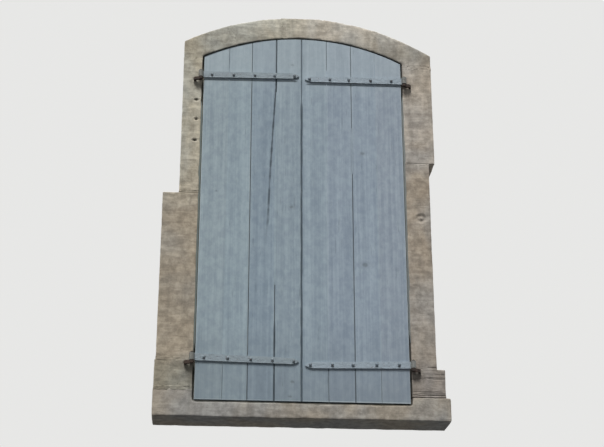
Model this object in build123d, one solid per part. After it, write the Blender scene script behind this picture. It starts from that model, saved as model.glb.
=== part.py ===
from build123d import *

import os
from math import asin, atan2, cos, degrees, hypot, radians, sin, sqrt, tan

# A pair of ledged and braced plank shutters, closed in the dressed stone surround that carries them.
# Millimetres. X runs to the right as seen from the street, Y into the wall, Z up.
# The origin is the centre of the sill's underside.

# The opening, measured in the rebate that takes the leaves
OPENING_WIDTH = 1130
SIDE_HEIGHT = 2002
ARCH_RISE = 140
LIP_WIDTH = 30

# The stones
STONE_DEPTH = 200
SILL_END_LENGTH = 203
SILL_FACE_HEIGHT = 81
SILL_UPSTAND = 38
LEFT_STOOL = 64
RIGHT_STOOL = 44
LEFT_BASE_HEIGHT = 155
LEFT_LOWER_HEIGHT = 940
RIGHT_BASE_HEIGHT = 150
RIGHT_LOWER_HEIGHT = 1172
LEFT_BASE_MARGIN = 3
LEFT_LOWER_WIDTH = 194
LEFT_UPPER_WIDTH = 107
RIGHT_BASE_MARGIN = 25
RIGHT_LOWER_WIDTH = 135
RIGHT_UPPER_WIDTH = 168
SPRINGER_DROP = 28
ARCH_THICKNESS = 135
KEYSTONE_LEFT = 100
KEYSTONE_RIGHT = 120
VOUSSOIR_REACH = 380
JOINT_THICKNESS = 8
JOINT_RECESS = 1

# The leaves
LEAF_THICKNESS = 32
LEAF_PROUD = 2
SEAT_CLEARANCE = 0.5
SIDE_GAP = 9
TOP_GAP = 9
BOTTOM_GAP = 8
MEETING_GAP = 3
MEETING_OFFSET = 7
BOARD_COUNT = 4
# How far each seam lies from where boards of equal width would put it
LEFT_SEAM_SHIFTS = (4.5, -4, -3.5)
RIGHT_SEAM_SHIFTS = (8, 3, 1)
LEFT_SEAM_GAPS = (1, 2.5, 3.5)
RIGHT_SEAM_GAPS = (1, 2.5, 1.5)
TONGUE_LENGTH = 8
TONGUE_THICKNESS = 9
TONGUE_CLEARANCE = 0.4
BOARD_CHAMFER = 1.5
CRACK_DEPTH = 14
CRACK_WIDTH = 4
CRACK_DROP = 279
# How far down the crack and how far off the seam
CRACK_COURSE = ((0, 0), (250, 15), (550, 30), (850, 41), (1000, 55))

# Ledges and braces on the inner face
LEDGE_WIDTH = 110
LEDGE_THICKNESS = 22
LEDGE_CHAMFER = 5
LEDGE_HINGE_INSET = 30
LEDGE_MEETING_INSET = 8
BRACE_WIDTH = 90

# Straps and the pintles that they turn on
STRAP_HEIGHT = 38
STRAP_END_HEIGHT = 34
STRAP_THICKNESS = 6
LANCE_LENGTH = 50
LANCE_TIP = 5
LANCE_SWELL = 3
HINGE_OFFSET = 18
PIN_RADIUS = 7
EYE_CLEARANCE = 0.3
EYE_ROLL = 292
EYE_SEAT = 0.3
PIN_STANDOUT = 6
COLLAR_RADIUS = 12
COLLAR_HEIGHT = 8
TAIL_WIDTH = 14
TAIL_HEIGHT = 16
TAIL_OFFSET = 32
TAIL_DEPTH = 80
TAIL_BEND = 14
LEFT_UPPER_DROP = 115
LEFT_LOWER_RISE = 223
RIGHT_UPPER_DROP = 113
RIGHT_LOWER_RISE = 205
LEFT_UPPER_SLOPE = 1.15
LEFT_LOWER_SLOPE = -1.26
RIGHT_UPPER_SLOPE = -0.8
RIGHT_LOWER_SLOPE = -1.4
LEFT_TIP_INSET = 14
RIGHT_TIP_INSET = 17

# Forged rivets that clench each strap, its boards and the ledge together
# The first from the leaf's edge, the next three from the seams, and the last from the strap's tip
LEFT_RIVET_INSETS = (45, 25, 16, -10)
RIGHT_RIVET_INSETS = (55, 24, 13, -19)
LAST_RIVET_TO_TIP = 26
SHANK_WIDTH = 7
SHANK_CLEARANCE = 0.2
RIVET_END = 2.5
HEAD_WIDTH = 16
HEAD_TOP = 6
HEAD_HEIGHT = 6
ROVE_WIDTH = 20
ROVE_THICKNESS = 2.5

# The turning rod that locks the pair, on the inner face of the right leaf
ROD_EDGE_DISTANCE = 91.5
ROD_RADIUS = 8
ROD_STANDOFF = 12
ROD_CLEARANCE = 0.3
ROD_TURN = 90
BEARING_WALL = 3
BEARING_HEIGHT = 24
BEARING_PLATE_LENGTH = 64
BEARING_PLATE_THICKNESS = 3
SHOULDER_RADIUS = 11
SHOULDER_HEIGHT = 6
SHOULDER_CLEARANCE = 0.3
KEEPER_RADIUS = 6
KEEPER_OFFSET = 28
KEEPER_STANDOUT = 55
KEEPER_SOCKET = 40
CLAW_STANDOFF = 26
CLAW_THICKNESS = 12
CLAW_ARM_WIDTH = 10
CLAW_FINGER = 7
CLAW_GAP = 3
CLAW_WRAP = 40
CLAW_HUB_RADIUS = 12

# The handle on the rod, and its catch on the left leaf
HANDLE_DROP = 179
HANDLE_LIFT_AT_REST = 35
HANDLE_LENGTH = 140
HANDLE_THICKNESS = 10
HANDLE_ROOT_HEIGHT = 16
HANDLE_END_HEIGHT = 11
HANDLE_EYE_RADIUS = 11
PALM_RADIUS = 10
PIVOT_OFFSET = 20
PIVOT_RADIUS = 4
PIVOT_CLEARANCE = 0.1
PIVOT_STANDOUT = 2
CHEEK_THICKNESS = 6
CHEEK_CLEARANCE = 0.3
BOSS_HEIGHT = 40
CATCH_INSET = 30
CATCH_WIDTH = 12
CATCH_CLEARANCE = 0.5
CATCH_FLOOR = 8
PRONG_THICKNESS = 6
PRONG_HEIGHT = 13
CATCH_PLATE_WIDTH = 26
CATCH_PLATE_HEIGHT = 60
CATCH_PLATE_THICKNESS = 4

# Levels and lines that follow from the sizes above
FACE = -STONE_DEPTH / 2
BACK = STONE_DEPTH / 2
REBATE_FLOOR = SILL_FACE_HEIGHT
UPSTAND_TOP = SILL_FACE_HEIGHT + SILL_UPSTAND
SPRINGING = REBATE_FLOOR + SIDE_HEIGHT
SPRINGER_BED = SPRINGING - SPRINGER_DROP
OPENING_HALF = OPENING_WIDTH / 2
PASSAGE_HALF = OPENING_HALF - LIP_WIDTH
ARCH_RADIUS = (OPENING_HALF**2 + ARCH_RISE**2) / (2 * ARCH_RISE)
ARCH_CENTRE = SPRINGING + ARCH_RISE - ARCH_RADIUS
SOFFIT_RADIUS = ARCH_RADIUS - LIP_WIDTH
EXTRADOS_RADIUS = ARCH_RADIUS + ARCH_THICKNESS
LEAF_FRONT = FACE - LEAF_PROUD
LEAF_INNER = LEAF_FRONT + LEAF_THICKNESS
LEDGE_INNER = LEAF_INNER + LEDGE_THICKNESS
REBATE_BACK = LEAF_INNER + SEAT_CLEARANCE
LEAF_RADIUS = ARCH_RADIUS - TOP_GAP
LEAF_BOTTOM = REBATE_FLOOR + BOTTOM_GAP
LEAF_EDGE = OPENING_HALF - SIDE_GAP
LEFT_LEAF_WIDTH = LEAF_EDGE - MEETING_GAP / 2 - MEETING_OFFSET
RIGHT_LEAF_WIDTH = LEAF_EDGE - MEETING_GAP / 2 + MEETING_OFFSET
EYE_BORE = PIN_RADIUS + EYE_CLEARANCE
EYE_OUTER = EYE_BORE + STRAP_THICKNESS
HINGE_X = -LEAF_EDGE - HINGE_OFFSET
HINGE_Y = LEAF_FRONT - EYE_OUTER
ROD_X = LEAF_EDGE - RIGHT_LEAF_WIDTH + ROD_EDGE_DISTANCE
ROD_Y = LEDGE_INNER + ROD_STANDOFF
KEEPER_X = ROD_X - KEEPER_OFFSET
LEFT, RIGHT = "left", "right"


def arch_height(x, radius):
    """Height of an arc about the arch's centre, at a distance x from the centre line."""
    return ARCH_CENTRE + sqrt(radius**2 - x**2)


LEAF_SHOULDER = arch_height(LEAF_EDGE, LEAF_RADIUS)


def elevation(outline, front, back):
    """Solid whose outline is drawn looking along Y, between two depths."""
    return extrude(Plane.XZ.offset(-back) * outline, amount=back - front)


def plan(outline, bottom, top):
    """Solid whose outline is drawn looking down, between two heights."""
    return extrude(Plane.XY.offset(bottom) * outline, amount=top - bottom)


def side_view(outline, left, right):
    """Solid whose outline is drawn in Y and Z, between two places along X."""
    return extrude(Plane.YZ.offset(left) * outline, amount=right - left)


def box_outline(left, right, low, high):
    """Rectangle between four lines."""
    return Pos((left + right) / 2, (low + high) / 2) * Rectangle(right - left, high - low)


def arched_outline(half_width, bottom, radius):
    """Upright outline with a segmental top, about the arch's own centre."""
    spring = arch_height(half_width, radius)
    left, right = (-half_width, spring), (half_width, spring)
    sides = Polyline(left, (-half_width, bottom), (half_width, bottom), right)
    crown = ThreePointArc(left, (0, ARCH_CENTRE + radius), right)
    return make_face([*sides.edges(), crown])


def on_side(side, shape):
    """The drawing is made for the left-hand side, and the right-hand one is its mirror image."""
    return shape if side == LEFT else mirror(shape, about=Plane.YZ)


REBATE_VOID = elevation(arched_outline(OPENING_HALF, REBATE_FLOOR, ARCH_RADIUS), 2 * FACE, REBATE_BACK)
PASSAGE_VOID = elevation(arched_outline(PASSAGE_HALF, UPSTAND_TOP, SOFFIT_RADIUS), 2 * FACE, 2 * BACK)


# Stone surround

def sill():
    """Stooled sill: one stone with a rebate for the leaves and a seat for each jamb."""
    half = OPENING_HALF + SILL_END_LENGTH
    left_seat = REBATE_FLOOR + LEFT_STOOL
    right_seat = REBATE_FLOOR + RIGHT_STOOL
    outline = Polygon(
        (-half, 0), (half, 0), (half, right_seat), (PASSAGE_HALF, right_seat),
        (PASSAGE_HALF, UPSTAND_TOP), (-PASSAGE_HALF, UPSTAND_TOP),
        (-PASSAGE_HALF, left_seat), (-half, left_seat), align=None,
    )
    return elevation(outline, FACE, BACK) - REBATE_VOID - keeper_stem(LEFT)


def jamb_courses(side):
    """Name, width, bottom and top of each jamb stone, with the mortar left between them."""
    stool = LEFT_STOOL if side == LEFT else RIGHT_STOOL
    base = LEFT_BASE_HEIGHT if side == LEFT else RIGHT_BASE_HEIGHT
    lower = LEFT_LOWER_HEIGHT if side == LEFT else RIGHT_LOWER_HEIGHT
    widths = (SILL_END_LENGTH - LEFT_BASE_MARGIN, LEFT_LOWER_WIDTH, LEFT_UPPER_WIDTH)
    if side == RIGHT:
        widths = (SILL_END_LENGTH - RIGHT_BASE_MARGIN, RIGHT_LOWER_WIDTH, RIGHT_UPPER_WIDTH)
    seat = REBATE_FLOOR + stool
    beds = (seat, seat + base, seat + base + lower, SPRINGER_BED)
    return [
        (name, widths[i], beds[i] + JOINT_THICKNESS, beds[i + 1])
        for i, name in enumerate(("base", "lower", "upper"))
    ]


def jamb_stone(side, width, bottom, top):
    """One jamb stone, rebated for the leaf and let in for any pintle's tail."""
    block = elevation(box_outline(-OPENING_HALF - width, -PASSAGE_HALF, bottom, top), FACE, BACK)
    return on_side(side, block - REBATE_VOID - pintle_sockets(side))


def springer_width(side):
    """A springer is as wide as the stone that it stands on."""
    return LEFT_UPPER_WIDTH if side == LEFT else RIGHT_UPPER_WIDTH


def joint_angle(reach):
    """Angle from upright of the radial joint that meets the arch this far from the centre line."""
    return degrees(asin(reach / ARCH_RADIUS))


def wedge_outline(start, end):
    """Triangle between two radial lines from the arch's centre, at angles from upright."""
    reach = 2 * EXTRADOS_RADIUS
    corners = [(reach * sin(radians(a)), reach * cos(radians(a))) for a in (start, end)]
    return Pos(0, ARCH_CENTRE) * Polygon((0, 0), *corners, align=None)


def arch_piece(outer, bed, start, end, front=FACE, back=BACK):
    """Part of the arch ring between two radial joints, standing on a level bed."""
    outline = arched_outline(outer, bed, EXTRADOS_RADIUS) & wedge_outline(start, end)
    return elevation(outline, front, back) - REBATE_VOID - PASSAGE_VOID


HALF_JOINT = degrees(JOINT_THICKNESS / 2 / ARCH_RADIUS)
BELOW_SPRINGING = 80


def springer(side):
    """Springer: from the last radial joint down to its bed on the jamb."""
    outer = OPENING_HALF + springer_width(side)
    start = -joint_angle(VOUSSOIR_REACH) - HALF_JOINT
    return on_side(side, arch_piece(outer, SPRINGER_BED + JOINT_THICKNESS, start, -BELOW_SPRINGING))


def voussoir(side):
    """Stone between a springer and the keystone."""
    crown = KEYSTONE_LEFT if side == LEFT else KEYSTONE_RIGHT
    start = -joint_angle(crown) - HALF_JOINT
    end = -joint_angle(VOUSSOIR_REACH) + HALF_JOINT
    return on_side(side, arch_piece(OPENING_HALF, SPRINGER_BED, start, end))


def keystone():
    """Keystone, drilled from below for the upper keeper."""
    start = joint_angle(KEYSTONE_RIGHT) - HALF_JOINT
    end = -joint_angle(KEYSTONE_LEFT) + HALF_JOINT
    return arch_piece(OPENING_HALF, SPRINGER_BED, start, end) - keeper_stem(RIGHT)


def mortar_beds(side):
    """Level joints of one jamb, raked back from the stones' faces."""
    stones = jamb_courses(side)
    widths = [width for _, width, _, _ in stones] + [springer_width(side)]
    levels = [bottom - JOINT_THICKNESS for _, _, bottom, _ in stones] + [SPRINGER_BED]
    slabs = []
    for i, level in enumerate(levels):
        width = min(widths[max(i - 1, 0)], widths[i])
        outline = box_outline(-OPENING_HALF - width, -PASSAGE_HALF, level, level + JOINT_THICKNESS)
        slab = elevation(outline, FACE + JOINT_RECESS, BACK - JOINT_RECESS)
        slabs.append(on_side(side, slab - REBATE_VOID - pintle_sockets(side)))
    return slabs


def mortar_radials():
    """Radial joints of the arch, raked back in the same way."""
    joints = [
        -joint_angle(VOUSSOIR_REACH), -joint_angle(KEYSTONE_LEFT),
        joint_angle(KEYSTONE_RIGHT), joint_angle(VOUSSOIR_REACH),
    ]
    front, back = FACE + JOINT_RECESS, BACK - JOINT_RECESS
    return [
        arch_piece(OPENING_HALF, SPRINGER_BED, a + HALF_JOINT, a - HALF_JOINT, front, back)
        for a in joints
    ]


# Leaves: the left-hand one is drawn, and the right-hand one mirrored

def leaf_width(side):
    return LEFT_LEAF_WIDTH if side == LEFT else RIGHT_LEAF_WIDTH


def board_outline(start, end, grooved, tongued):
    """Plan of one board: chamfered front arrises, a groove behind one and a tongue at the other."""
    middle = (LEAF_FRONT + LEAF_INNER) / 2
    tongue = TONGUE_THICKNESS / 2
    groove = tongue + TONGUE_CLEARANCE
    depth = start + TONGUE_LENGTH
    tip = end + TONGUE_LENGTH
    chamfered = LEAF_FRONT + BOARD_CHAMFER
    points = [(start + BOARD_CHAMFER, LEAF_FRONT), (end - BOARD_CHAMFER, LEAF_FRONT), (end, chamfered)]
    if tongued:
        points += [(end, middle - tongue), (tip, middle - tongue)]
        points += [(tip, middle + tongue), (end, middle + tongue)]
    points += [(end, LEAF_INNER), (start, LEAF_INNER)]
    if grooved:
        points += [(start, middle + groove), (depth, middle + groove)]
        points += [(depth, middle - groove), (start, middle - groove)]
    return Polygon(*points, (start, chamfered), align=None)


def seam_places(side):
    """Board edges from the hinge side to the meeting side of a leaf, both of its own edges included."""
    shifts = LEFT_SEAM_SHIFTS if side == LEFT else RIGHT_SEAM_SHIFTS
    even = leaf_width(side) / BOARD_COUNT
    seams = [-LEAF_EDGE + (i + 1) * even + shift for i, shift in enumerate(shifts)]
    return [-LEAF_EDGE, *seams, -LEAF_EDGE + leaf_width(side)]


def crack():
    """Long split in the left leaf's third board, from the seam near its top to a fine end below."""
    seam = seam_places(LEFT)[3]
    top = ARCH_CENTRE + LEAF_RADIUS - CRACK_DROP
    length = CRACK_COURSE[-1][0]
    left, right = [], []
    for down, drift in CRACK_COURSE:
        half = CRACK_WIDTH / 2 * (1 - down / length)
        left.append((seam - drift - half, top - down))
        right.append((seam - drift + half, top - down))
    outline = Polygon(*left, *reversed(right[:-1]), align=None)
    return elevation(outline, LEAF_FRONT - LEAF_PROUD, LEAF_FRONT + CRACK_DEPTH)


def boards(side):
    """The four tongued and grooved boards of a leaf, cut to the arch and punched for the rivets."""
    places = seam_places(side)
    gaps = [0, *(LEFT_SEAM_GAPS if side == LEFT else RIGHT_SEAM_GAPS), 0]
    reach = elevation(
        arched_outline(LEAF_EDGE, LEAF_BOTTOM, LEAF_RADIUS), LEAF_FRONT - LEAF_PROUD, LEDGE_INNER
    )
    holes = rivet_holes(side)
    made = []
    for i in range(len(places) - 1):
        start = places[i] + gaps[i] / 2
        end = places[i + 1] - gaps[i + 1] / 2
        outline = board_outline(start, end, i > 0, i < len(places) - 2)
        made.append((plan(outline, LEAF_BOTTOM, ARCH_CENTRE + LEAF_RADIUS) & reach) - holes)
    if side == LEFT:
        made[2] -= crack()
        made[3] -= crack()
    return [on_side(side, board) for board in made]


def strap_lines(side):
    """Name, height at the hinge and slope in degrees of a leaf's two straps."""
    if side == LEFT:
        return [
            ("upper", LEAF_SHOULDER - LEFT_UPPER_DROP, LEFT_UPPER_SLOPE),
            ("lower", LEAF_BOTTOM + LEFT_LOWER_RISE, LEFT_LOWER_SLOPE),
        ]
    return [
        ("upper", LEAF_SHOULDER - RIGHT_UPPER_DROP, RIGHT_UPPER_SLOPE),
        ("lower", LEAF_BOTTOM + RIGHT_LOWER_RISE, RIGHT_LOWER_SLOPE),
    ]


def strap_length(side):
    """From the hinge's axis to the strap's tip."""
    inset = LEFT_TIP_INSET if side == LEFT else RIGHT_TIP_INSET
    return HINGE_OFFSET + leaf_width(side) - inset


def strap_rise(along, slope):
    """The eye stands plumb, and the blade leaves it at a slope."""
    return max(0, along - EYE_OUTER) * tan(radians(slope))


def rivet_places(side):
    """X and Z of each strap rivet of a leaf."""
    insets = LEFT_RIVET_INSETS if side == LEFT else RIGHT_RIVET_INSETS
    places = [seam + inset - HINGE_X for seam, inset in zip(seam_places(side), insets)]
    places.append(strap_length(side) - LAST_RIVET_TO_TIP)
    return [
        (HINGE_X + along, height + strap_rise(along, slope))
        for _, height, slope in strap_lines(side)
        for along in places
    ]


def square(width):
    return Rectangle(width, width)


def rivet_holes(side):
    """Square holes for a leaf's rivets, through strap, board and ledge."""
    hole = square(SHANK_WIDTH + 2 * SHANK_CLEARANCE)
    front = LEAF_FRONT - STRAP_THICKNESS - HEAD_HEIGHT
    return [elevation(Pos(x, z) * hole, front, LEDGE_INNER + ROVE_THICKNESS) for x, z in rivet_places(side)]


def ledge_heights(side):
    """Centre lines of the three ledges: behind each strap, and half way between them."""
    middle = HINGE_OFFSET + leaf_width(side) / 2
    upper, lower = [height + strap_rise(middle, slope) for _, height, slope in strap_lines(side)]
    return {"upper": upper, "middle": (upper + lower) / 2, "lower": lower}


HANDLE_Z = ledge_heights(RIGHT)["middle"] - HANDLE_DROP


def ledge_ends(side):
    return -LEAF_EDGE + LEDGE_HINGE_INSET, -LEAF_EDGE + leaf_width(side) - LEDGE_MEETING_INSET


def ledge(side, height):
    """One ledge, its two inner arrises chamfered."""
    start, end = ledge_ends(side)
    half = LEDGE_WIDTH / 2
    inner = LEDGE_INNER - LEDGE_CHAMFER
    section = Polygon(
        (LEAF_INNER, height - half), (inner, height - half), (LEDGE_INNER, height - half + LEDGE_CHAMFER),
        (LEDGE_INNER, height + half - LEDGE_CHAMFER), (inner, height + half), (LEAF_INNER, height + half),
        align=None,
    )
    return on_side(side, side_view(section, start, end) - rivet_holes(side))


def brace(side, low, high):
    """Diagonal between two ledges, rising from the hinge side to the meeting side."""
    start, end = ledge_ends(side)
    rise = high - low
    width = BRACE_WIDTH * hypot(end - start - BRACE_WIDTH, rise) / rise
    outline = Polygon((start, low), (start + width, low), (end, high), (end - width, high), align=None)
    return on_side(side, elevation(outline, LEAF_INNER, LEDGE_INNER))


def rolled_eye():
    """Plan of the strap's end, rolled round the pin and left open where it comes back to itself."""
    bore = CenterArc((0, 0), EYE_BORE, 90, EYE_ROLL)
    skin = CenterArc((0, 0), EYE_OUTER, 90, EYE_ROLL)
    flat = EYE_OUTER + HINGE_OFFSET
    sides = Polyline(bore @ 0, (flat, EYE_BORE), (flat, EYE_OUTER), skin @ 0)
    return make_face([bore, skin, *sides.edges(), Line(bore @ 1, skin @ 1)])


def blade_outline(length, slope):
    """Elevation of the strap's blade, from the hinge's axis to its lance-shaped tip."""
    root, shoulder = EYE_OUTER, length - LANCE_LENGTH
    high, low = STRAP_HEIGHT / 2, STRAP_END_HEIGHT / 2
    at_shoulder, at_tip = strap_rise(shoulder, slope), strap_rise(length, slope)
    bend = length - LANCE_LENGTH / 2
    at_bend = strap_rise(bend, slope)
    swell = (low + LANCE_TIP) / 2 + LANCE_SWELL
    top = Polyline((0, -high), (0, high), (root, high), (shoulder, at_shoulder + low))
    foot = Polyline((0, -high), (root, -high), (shoulder, at_shoulder - low))
    neck = length - LANCE_TIP
    lance_top = ThreePointArc(top @ 1, (bend, at_bend + swell), (neck, at_tip + LANCE_TIP))
    lance_foot = ThreePointArc(foot @ 1, (bend, at_bend - swell), (neck, at_tip - LANCE_TIP))
    tip = ThreePointArc(lance_top @ 1, (length, at_tip), lance_foot @ 1)
    return make_face([*top.edges(), *foot.edges(), lance_top, lance_foot, tip])


def strap(side, height, slope):
    """Strap: a rolled eye on a long flat blade, punched for the rivets."""
    eye = plan(Pos(HINGE_X, HINGE_Y) * rolled_eye(), height - STRAP_HEIGHT / 2, height + STRAP_HEIGHT / 2)
    outline = Pos(HINGE_X, height) * blade_outline(strap_length(side), slope)
    blade = elevation(outline, LEAF_FRONT - STRAP_THICKNESS, LEAF_FRONT)
    return on_side(side, eye + blade - rivet_holes(side))


def tail_level(height):
    """Centre line of the pintle's tail, under the eye and the collar."""
    return height - STRAP_HEIGHT / 2 - EYE_SEAT - (COLLAR_HEIGHT + TAIL_HEIGHT) / 2


def pintle(side, height):
    """Pintle: a pin on a collar, on an arm that turns into the jamb."""
    seat = height - STRAP_HEIGHT / 2 - EYE_SEAT
    level = tail_level(height)
    route = FilletPolyline(
        (HINGE_X, HINGE_Y, level), (HINGE_X - TAIL_OFFSET, HINGE_Y, level),
        (HINGE_X - TAIL_OFFSET, FACE + TAIL_DEPTH, level), radius=TAIL_BEND,
    )
    start = Plane(origin=route @ 0, x_dir=(0, 1, 0), z_dir=(-1, 0, 0))
    arm = sweep(start * Rectangle(TAIL_WIDTH, TAIL_HEIGHT), path=route)
    centre = Pos(HINGE_X, HINGE_Y)
    collar = plan(centre * Circle(COLLAR_RADIUS), seat - COLLAR_HEIGHT - TAIL_HEIGHT / 2, seat)
    pin = plan(centre * Circle(PIN_RADIUS), level, height + STRAP_HEIGHT / 2 + PIN_STANDOUT)
    return on_side(side, arm + collar + pin)


def pintle_sockets(side):
    """Holes that the tails of a side's two pintles fill."""
    x = HINGE_X - TAIL_OFFSET
    half = TAIL_WIDTH / 2
    sockets = []
    for _, height, _ in strap_lines(side):
        level = tail_level(height)
        outline = box_outline(x - half, x + half, level - TAIL_HEIGHT / 2, level + TAIL_HEIGHT / 2)
        sockets.append(elevation(outline, 2 * FACE, FACE + TAIL_DEPTH))
    return sockets


# Strap rivets, each peened over a square rove on the ledge

def rivet():
    """Square rivet: a hammered head standing on its seat, with the shank hanging down."""
    length = STRAP_THICKNESS + LEAF_THICKNESS + LEDGE_THICKNESS + ROVE_THICKNESS + RIVET_END
    head = loft([square(HEAD_WIDTH), Pos(0, 0, HEAD_HEIGHT) * square(HEAD_TOP)])
    return head + extrude(square(SHANK_WIDTH), amount=-length)


def rove():
    """Square plate that the rivet is peened over."""
    return extrude(square(ROVE_WIDTH) - square(SHANK_WIDTH), amount=-ROVE_THICKNESS)


def at_rivets(side, shape, depth):
    """A copy of a shape at each rivet of a leaf, its +Z turned to the street."""
    return [
        on_side(side, Plane(origin=(x, depth, z), x_dir=(1, 0, 0), z_dir=(0, -1, 0)) * shape)
        for x, z in rivet_places(side)
    ]


# The turning rod with its claws, its handle and what they work on

def ring_sector(inner, outer, start, spread):
    """Part of a flat ring about the origin, between two angles."""
    near = CenterArc((0, 0), inner, start, spread)
    far = CenterArc((0, 0), outer, start, spread)
    return make_face([near, far, Line(near @ 0, far @ 0), Line(near @ 1, far @ 1)])


def claw_outline():
    """Plan of a claw at rest: an arm from the rod, and a finger that wraps round the keeper."""
    beside_keeper = KEEPER_RADIUS + CLAW_GAP + CLAW_ARM_WIDTH / 2
    locked = 180 - degrees(asin(beside_keeper / KEEPER_OFFSET))
    arm_angle = locked - ROD_TURN
    inner = KEEPER_OFFSET + KEEPER_RADIUS + CLAW_GAP
    outer = inner + CLAW_FINGER
    back = degrees(atan2(CLAW_ARM_WIDTH / 2, inner))
    arm = Rot(0, 0, arm_angle) * box_outline(0, inner + CLAW_FINGER / 2, -CLAW_ARM_WIDTH / 2, CLAW_ARM_WIDTH / 2)
    finger = ring_sector(inner, outer, arm_angle - back, CLAW_WRAP + back)
    return Circle(CLAW_HUB_RADIUS) + arm + finger


def rod_ends():
    """Underside of the lower claw and top of the upper one."""
    soffit = arch_height(ROD_X, SOFFIT_RADIUS)
    return UPSTAND_TOP + CLAW_STANDOFF, soffit - CLAW_STANDOFF


def claw(low):
    """A claw, flat against one end of the rod."""
    return plan(Pos(ROD_X, ROD_Y) * claw_outline(), low, low + CLAW_THICKNESS)


def rod():
    """Rod between its two claws, with a shoulder that hangs on the middle bearing and a handle fork."""
    bottom, top = rod_ends()
    centre = Pos(ROD_X, ROD_Y)
    seat = ledge_heights(RIGHT)["middle"] + BEARING_HEIGHT / 2 + SHOULDER_CLEARANCE
    pieces = [
        plan(centre * Circle(ROD_RADIUS), bottom + CLAW_THICKNESS, top - CLAW_THICKNESS),
        plan(centre * Circle(SHOULDER_RADIUS), seat, seat + SHOULDER_HEIGHT),
        handle_fork(),
    ]
    return pieces[0].fuse(*pieces[1:]) - pivot_hole(PIVOT_RADIUS)


def fork_half_width():
    return HANDLE_THICKNESS / 2 + CHEEK_CLEARANCE + CHEEK_THICKNESS


def handle_fork():
    """Fork on the rod: two cheeks that stand out towards the room, with a slot between them."""
    half = fork_half_width()
    slot = HANDLE_THICKNESS / 2 + CHEEK_CLEARANCE
    reach = PIVOT_OFFSET + HANDLE_EYE_RADIUS
    outline = Circle(half) + box_outline(-half, half, 0, reach)
    outline -= box_outline(-slot, slot, ROD_RADIUS, reach + PIVOT_OFFSET)
    blank = plan(Pos(ROD_X, ROD_Y) * outline, HANDLE_Z - BOSS_HEIGHT / 2, HANDLE_Z + BOSS_HEIGHT / 2)
    corners = blank.edges().filter_by(Axis.X).group_by(Axis.Y)[-1]
    return fillet(corners, radius=HANDLE_EYE_RADIUS)


def pivot_hole(radius):
    """Round hole along X through the handle's pivot."""
    half = fork_half_width() + PIVOT_STANDOUT
    circle = Pos(ROD_Y + PIVOT_OFFSET, HANDLE_Z) * Circle(radius)
    return side_view(circle, ROD_X - half, ROD_X + half)


def handle():
    """Handle: an eye on the pivot, a tapered bar and a round palm, raised clear of the catch."""
    palm_at = HANDLE_LENGTH - PALM_RADIUS
    root, end = HANDLE_ROOT_HEIGHT / 2, HANDLE_END_HEIGHT / 2
    bar = Polygon((0, -root), (palm_at, -end), (palm_at, end), (0, root), align=None)
    outline = Circle(HANDLE_EYE_RADIUS) + bar + Pos(palm_at, 0) * Circle(PALM_RADIUS)
    lever = side_view(outline, -HANDLE_THICKNESS / 2, HANDLE_THICKNESS / 2)
    place = Pos(ROD_X, ROD_Y + PIVOT_OFFSET, HANDLE_Z) * Rot(HANDLE_LIFT_AT_REST, 0, 0)
    return place * lever - pivot_hole(PIVOT_RADIUS + PIVOT_CLEARANCE)


def handle_pin():
    """Round pin, its ends standing a little out of the cheeks."""
    half = fork_half_width() + PIVOT_STANDOUT
    circle = Pos(ROD_Y + PIVOT_OFFSET, HANDLE_Z) * Circle(PIVOT_RADIUS)
    return side_view(circle, ROD_X - half, ROD_X + half)


def rod_bearing(height):
    """Bearing: a ring round the rod on a flat plate that is fixed to a ledge."""
    bore = ROD_RADIUS + ROD_CLEARANCE
    plate = box_outline(
        -BEARING_PLATE_LENGTH / 2, BEARING_PLATE_LENGTH / 2,
        -ROD_STANDOFF, BEARING_PLATE_THICKNESS - ROD_STANDOFF,
    )
    ring = Circle(bore + BEARING_WALL) + plate - Circle(bore)
    return plan(Pos(ROD_X, ROD_Y) * ring, height - BEARING_HEIGHT / 2, height + BEARING_HEIGHT / 2)


def keeper_stem(end):
    """Plain round stem of the keeper in the sill (left) or in the keystone (right), socket included."""
    if end == LEFT:
        low, high = UPSTAND_TOP - KEEPER_SOCKET, UPSTAND_TOP + KEEPER_STANDOUT
    else:
        soffit = arch_height(KEEPER_X, SOFFIT_RADIUS)
        low, high = soffit - KEEPER_STANDOUT, soffit + KEEPER_SOCKET
    return plan(Pos(KEEPER_X, ROD_Y) * Circle(KEEPER_RADIUS), low, high)


def handle_catch():
    """Catch: a plate on the left leaf with an arm that ends in a seat between two prongs."""
    x = -LEAF_EDGE + LEFT_LEAF_WIDTH - CATCH_INSET
    half_gap = HANDLE_THICKNESS / 2 + CATCH_CLEARANCE
    seat = HANDLE_Z - HANDLE_ROOT_HEIGHT / 2 - CATCH_CLEARANCE
    near, far = ROD_Y - half_gap, ROD_Y + half_gap
    outline = Polygon(
        (LEAF_INNER, seat - CATCH_FLOOR), (far + PRONG_THICKNESS, seat - CATCH_FLOOR),
        (far + PRONG_THICKNESS, seat + PRONG_HEIGHT), (far, seat + PRONG_HEIGHT), (far, seat), (near, seat),
        (near, seat + PRONG_HEIGHT), (near - PRONG_THICKNESS, seat + PRONG_HEIGHT),
        (near - PRONG_THICKNESS, seat), (LEAF_INNER, seat), align=None,
    )
    arm = side_view(outline, x - CATCH_WIDTH / 2, x + CATCH_WIDTH / 2)
    middle = seat - CATCH_FLOOR / 2
    half_width, half_height = CATCH_PLATE_WIDTH / 2, CATCH_PLATE_HEIGHT / 2
    face = box_outline(x - half_width, x + half_width, middle - half_height, middle + half_height)
    return arm + elevation(face, LEAF_INNER, LEAF_INNER + CATCH_PLATE_THICKNESS)


# All the pieces by name

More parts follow.
